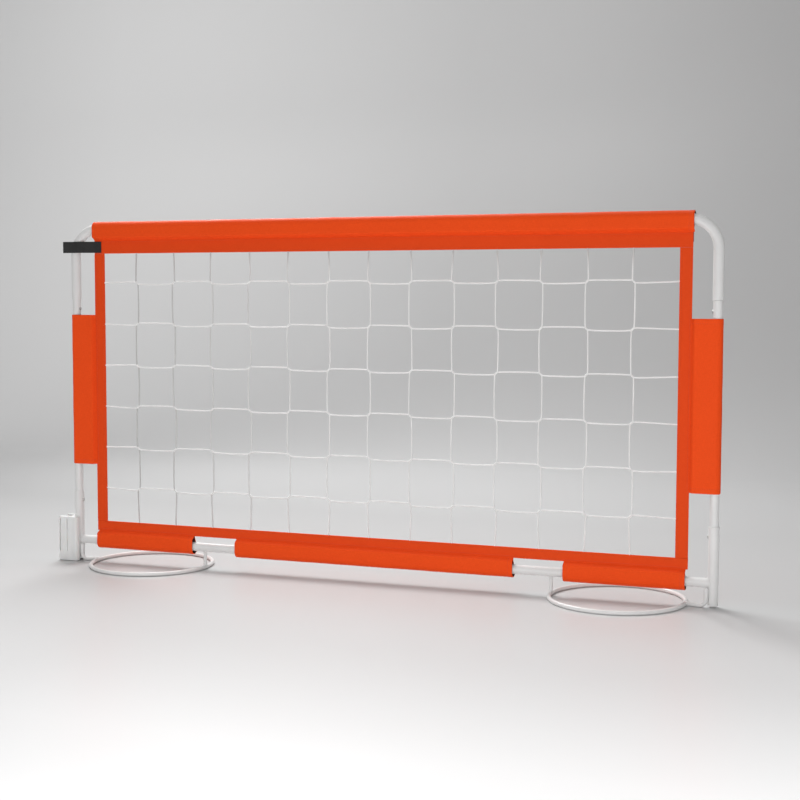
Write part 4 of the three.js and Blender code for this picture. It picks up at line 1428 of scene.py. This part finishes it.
def make_socket():
    """The moulding on the left leg: a channel for the next panel's post, with a springy tongue."""
    r = 5.0
    right_r = 8.0
    outline = [(SOCKET_LEFT, SOCKET_FRONT + 1.2), (SOCKET_LEFT + 0.35, SOCKET_FRONT + 0.35)]
    outline += [(SOCKET_LEFT + 1.2, SOCKET_FRONT)]
    outline += quarter(SOCKET_RIGHT - right_r, SOCKET_FRONT + right_r, right_r, 3)
    outline += [(SOCKET_RIGHT, SOCKET_COVER_BACK), (-POST_X, SOCKET_COVER_BACK), (-POST_X, SOCKET_BACK)]
    outline += quarter(SOCKET_LEFT + r, SOCKET_BACK - r, r, 1)
    made = prism(outline, SOCKET_BOTTOM, SOCKET_TOP)
    made.data.name = "link_socket"
    low = SOCKET_BOTTOM - 1
    high = SOCKET_TOP + 1
    rod_x, rod_y = rod_top_place(-1)
    half_slot = SOCKET_SLOT / 2
    reach = SOCKET_TONGUE + half_slot
    behind_tongue = rectangle(SOCKET_GUEST_X - reach, SOCKET_GUEST_X + reach, SOCKET_FRONT + 3.5, 0)
    cutters = [
        bar((-POST_X, 0, low), (-POST_X, 0, high), LEG_RADIUS + 0.4, 72),
        bar((rod_x, rod_y, low), (rod_x, rod_y, RAIL_AXIS), ROD_RADIUS + 0.8, 40),
        prism(rectangle(SOCKET_LEFT - 1, SOCKET_CHANNEL_END, -11.6, 11.6), low, high),
        prism(behind_tongue, *SOCKET_SLOT_SPAN),
    ]
    for x in (SOCKET_GUEST_X - SOCKET_TONGUE, SOCKET_GUEST_X + SOCKET_TONGUE):
        slot = rectangle(x - half_slot, x + half_slot, SOCKET_FRONT - 1, -5)
        cutters.append(prism(slot, *SOCKET_SLOT_SPAN))
    for z in SCREW_HEIGHTS:
        start = (SOCKET_CHANNEL_END - 1, 0, z)
        cutters.append(bar(start, (SOCKET_CHANNEL_END + 2.4, 0, z), 3.9, 32))
        cutters.append(bar(start, (-POST_X, 0, z), SCREW_HOLE, 24))
    cut_away(made, cutters)
    edges = made.modifiers.new("edges", "BEVEL")
    edges.width = 0.55 * MM
    edges.segments = 3
    edges.limit_method = "ANGLE"
    edges.angle_limit = math.radians(40)
    edges.harden_normals = False
    bpy.context.view_layer.update()
    settle(made, 40)
    made.data.materials.append(WHITE_PLASTIC)
    finish_piece(made, "link_socket")


def make_screws():
    """Pan-head screws with a cross recess, seen inside the channel."""
    face = SOCKET_CHANNEL_END + 0.2
    for index, z in enumerate(SCREW_HEIGHTS):
        name = f"link_socket_screw_{index + 1}"
        profile = [(0.4, 0.0), (1.6, 0.08), (2.6, 0.35), (3.3, 0.85), (3.6, 1.4), (3.6, 1.9)]
        profile += [(1.9, 1.9)]
        profile += [(1.9 if i % 2 else 1.6, 2.3 + 0.66 * i) for i in range(9)]
        profile.append((0.5, SOCKET_CHANNEL_END + 8.5 - face))
        made = new_object(name, lathe(profile, (face, 0, z), (1, 0, 0), 32), SCREW_STEEL, 40)
        arms = []
        for wide, tall in ((2.1, 0.42), (0.42, 2.1)):
            section = [(y, z + h) for y, h in rectangle(-wide, wide, -tall, tall)]
            rings = [[place(x, *point) for point in section] for x in (face - 1, face + 1.2)]
            arms.append(new_object("cutter", loft(rings)))
        cut_away(made, arms, 40)
        finish_piece(made, name)


# Camera, light, floor


def make_camera():
    """A fixed studio camera to the right of the panel, turned to its left and slightly down."""
    data = bpy.data.cameras.new("camera")
    data.sensor_width = 36.0
    data.lens = 62.51
    data.clip_end = 60
    data.dof.use_dof = False
    camera = bpy.data.objects.new("camera", data)
    bpy.context.scene.collection.objects.link(camera)
    yaw, pitch, roll = [math.radians(angle) for angle in (20.108, 4.066, 0.136)]
    level = math.cos(pitch)
    forward = Vector((-math.sin(yaw) * level, math.cos(yaw) * level, -math.sin(pitch)))
    right = Vector((math.cos(yaw), math.sin(yaw), 0))
    up = right.cross(forward)
    right_rolled = right * math.cos(roll) + up * math.sin(roll)
    up_rolled = up * math.cos(roll) - right * math.sin(roll)
    turn = Matrix((right_rolled, up_rolled, -forward)).transposed()
    camera.matrix_world = Matrix.Translation(place(1103.17, -2824.90, 617.21)) @ turn.to_4x4()
    bpy.context.scene.camera = camera


def area_light(name, spot, target, size, power, spread=180):
    data = bpy.data.lights.new(name, "AREA")
    data.spread = math.radians(spread)
    data.shape = "RECTANGLE"
    data.size, data.size_y = size
    data.energy = power
    light = bpy.data.objects.new(name, data)
    bpy.context.scene.collection.objects.link(light)
    light.location = spot
    aim = Vector(target) - Vector(spot)
    light.rotation_euler = aim.to_track_quat("-Z", "Y").to_euler()


def studio_paper():
    """Matt paper with painted light and shade across the floor and up the wall."""
    s = Shader("studio_paper", Specular_IOR_Level=0.35)
    here = s.object_place()
    across, depth, height = s.split(here)
    cloud = s.noise(here, 0.6, 2)
    # Painted light and shade: the floor is darker to the left and lighter to the right.
    paper = s.patches(across, grey(0.48), grey(0.6), -0.6, 1.1)
    paper = s.patches(cloud, paper, grey(0.9), share=0.04)
    # Painted light and shade on the wall: lighter low down and towards the far left.
    wall = s.patches(height, grey(0.67), grey(0.62), 0.1, 1.1)
    wall = s.tint(s.spread(across, -2.8, -0.9, 0.45, 0), wall, grey(0.9))
    paper = s.patches(depth, paper, wall, 0.9, 2.0)
    # A painted pool of light on the floor in front of the panel, towards the camera.
    near = s.patches(across, grey(0.7), grey(0.96), -0.3, 1.1)
    paper = s.tint(s.spread(depth, -1.1, 0.1, 1, 0), paper, near)
    return s.finish(paper, s.spread(cloud, 0.3, 0.7, 0.36, 0.42))


def make_studio():
    """A pale seamless sweep: floor, a wide curve and a wall, under large soft lamps."""
    wall_y = 3.6
    bend = 1.6
    section = [(-7.0, 0.0), (-3.0, 0.0), (0.0, 0.0)]
    for i in range(25):
        angle = math.pi / 2 * i / 24
        section.append((wall_y - bend + bend * math.sin(angle), bend - bend * math.cos(angle)))
    section += [(wall_y, 3.0), (wall_y, 6.0)]
    vertices = [Vector((x, y, z)) for x in (-9.0, 9.0) for y, z in section]
    count = len(section)
    faces = [(i, i + 1, count + i + 1, count + i) for i in range(count - 1)]
    mesh = bpy.data.meshes.new("studio_sweep")
    mesh.from_pydata(vertices, [], faces)
    mesh.materials.append(studio_paper())
    mesh.shade_smooth()
    sweep = bpy.data.objects.new("studio_sweep", mesh)
    bpy.context.scene.collection.objects.link(sweep)

    world = bpy.data.worlds.new("studio_world")
    world.use_nodes = True
    background = world.node_tree.nodes["Background"].inputs
    background[0].default_value = (1, 1, 1, 1)
    background[1].default_value = 0.42
    bpy.context.scene.world = world
    area_light("key", (-1.5, 1.7, 2.9), (0, -0.1, 0), (1.8, 1.2), 34, 100)
    area_light("top", (-0.4, 0.35, 2.5), (-0.3, 0.1, 0), (2.6, 0.5), 7, 110)
    area_light("backdrop", (-2.2, 1.0, 2.7), (-1.9, 3.4, 1.1), (4.0, 0.8), 20, 115)
    area_light("floor_bounce", (0.35, -1.95, 0.14), (0.0, 0, 0.25), (3.4, 0.2), 15.5)
    area_light("fill", (0.9, -3.3, 1.5), (0.1, 0, 0.4), (2.6, 2.0), 3)
    area_light("front_floor", (1.2, -1.7, 2.6), (1.2, -1.69, 0), (3.6, 0.8), 6.5, 85)
    bpy.context.scene.view_settings.view_transform = "Standard"
    bpy.context.scene.view_settings.look = "None"


# The whole panel

make_camera()
for side in (-1, 1):
    make_top_corner(side)
    make_side_post(side)
    make_lower_leg(side)
    make_bottom_rail(side)
    make_leg_end_cap(side)
    make_foot_ring(side)
    make_foot_upright(side)
    make_foot_outer_rod(side)
make_weld_beads()
make_snap_joints()
make_border()
make_sleeves()
make_net()
make_strap()
make_socket()
make_screws()
make_studio()
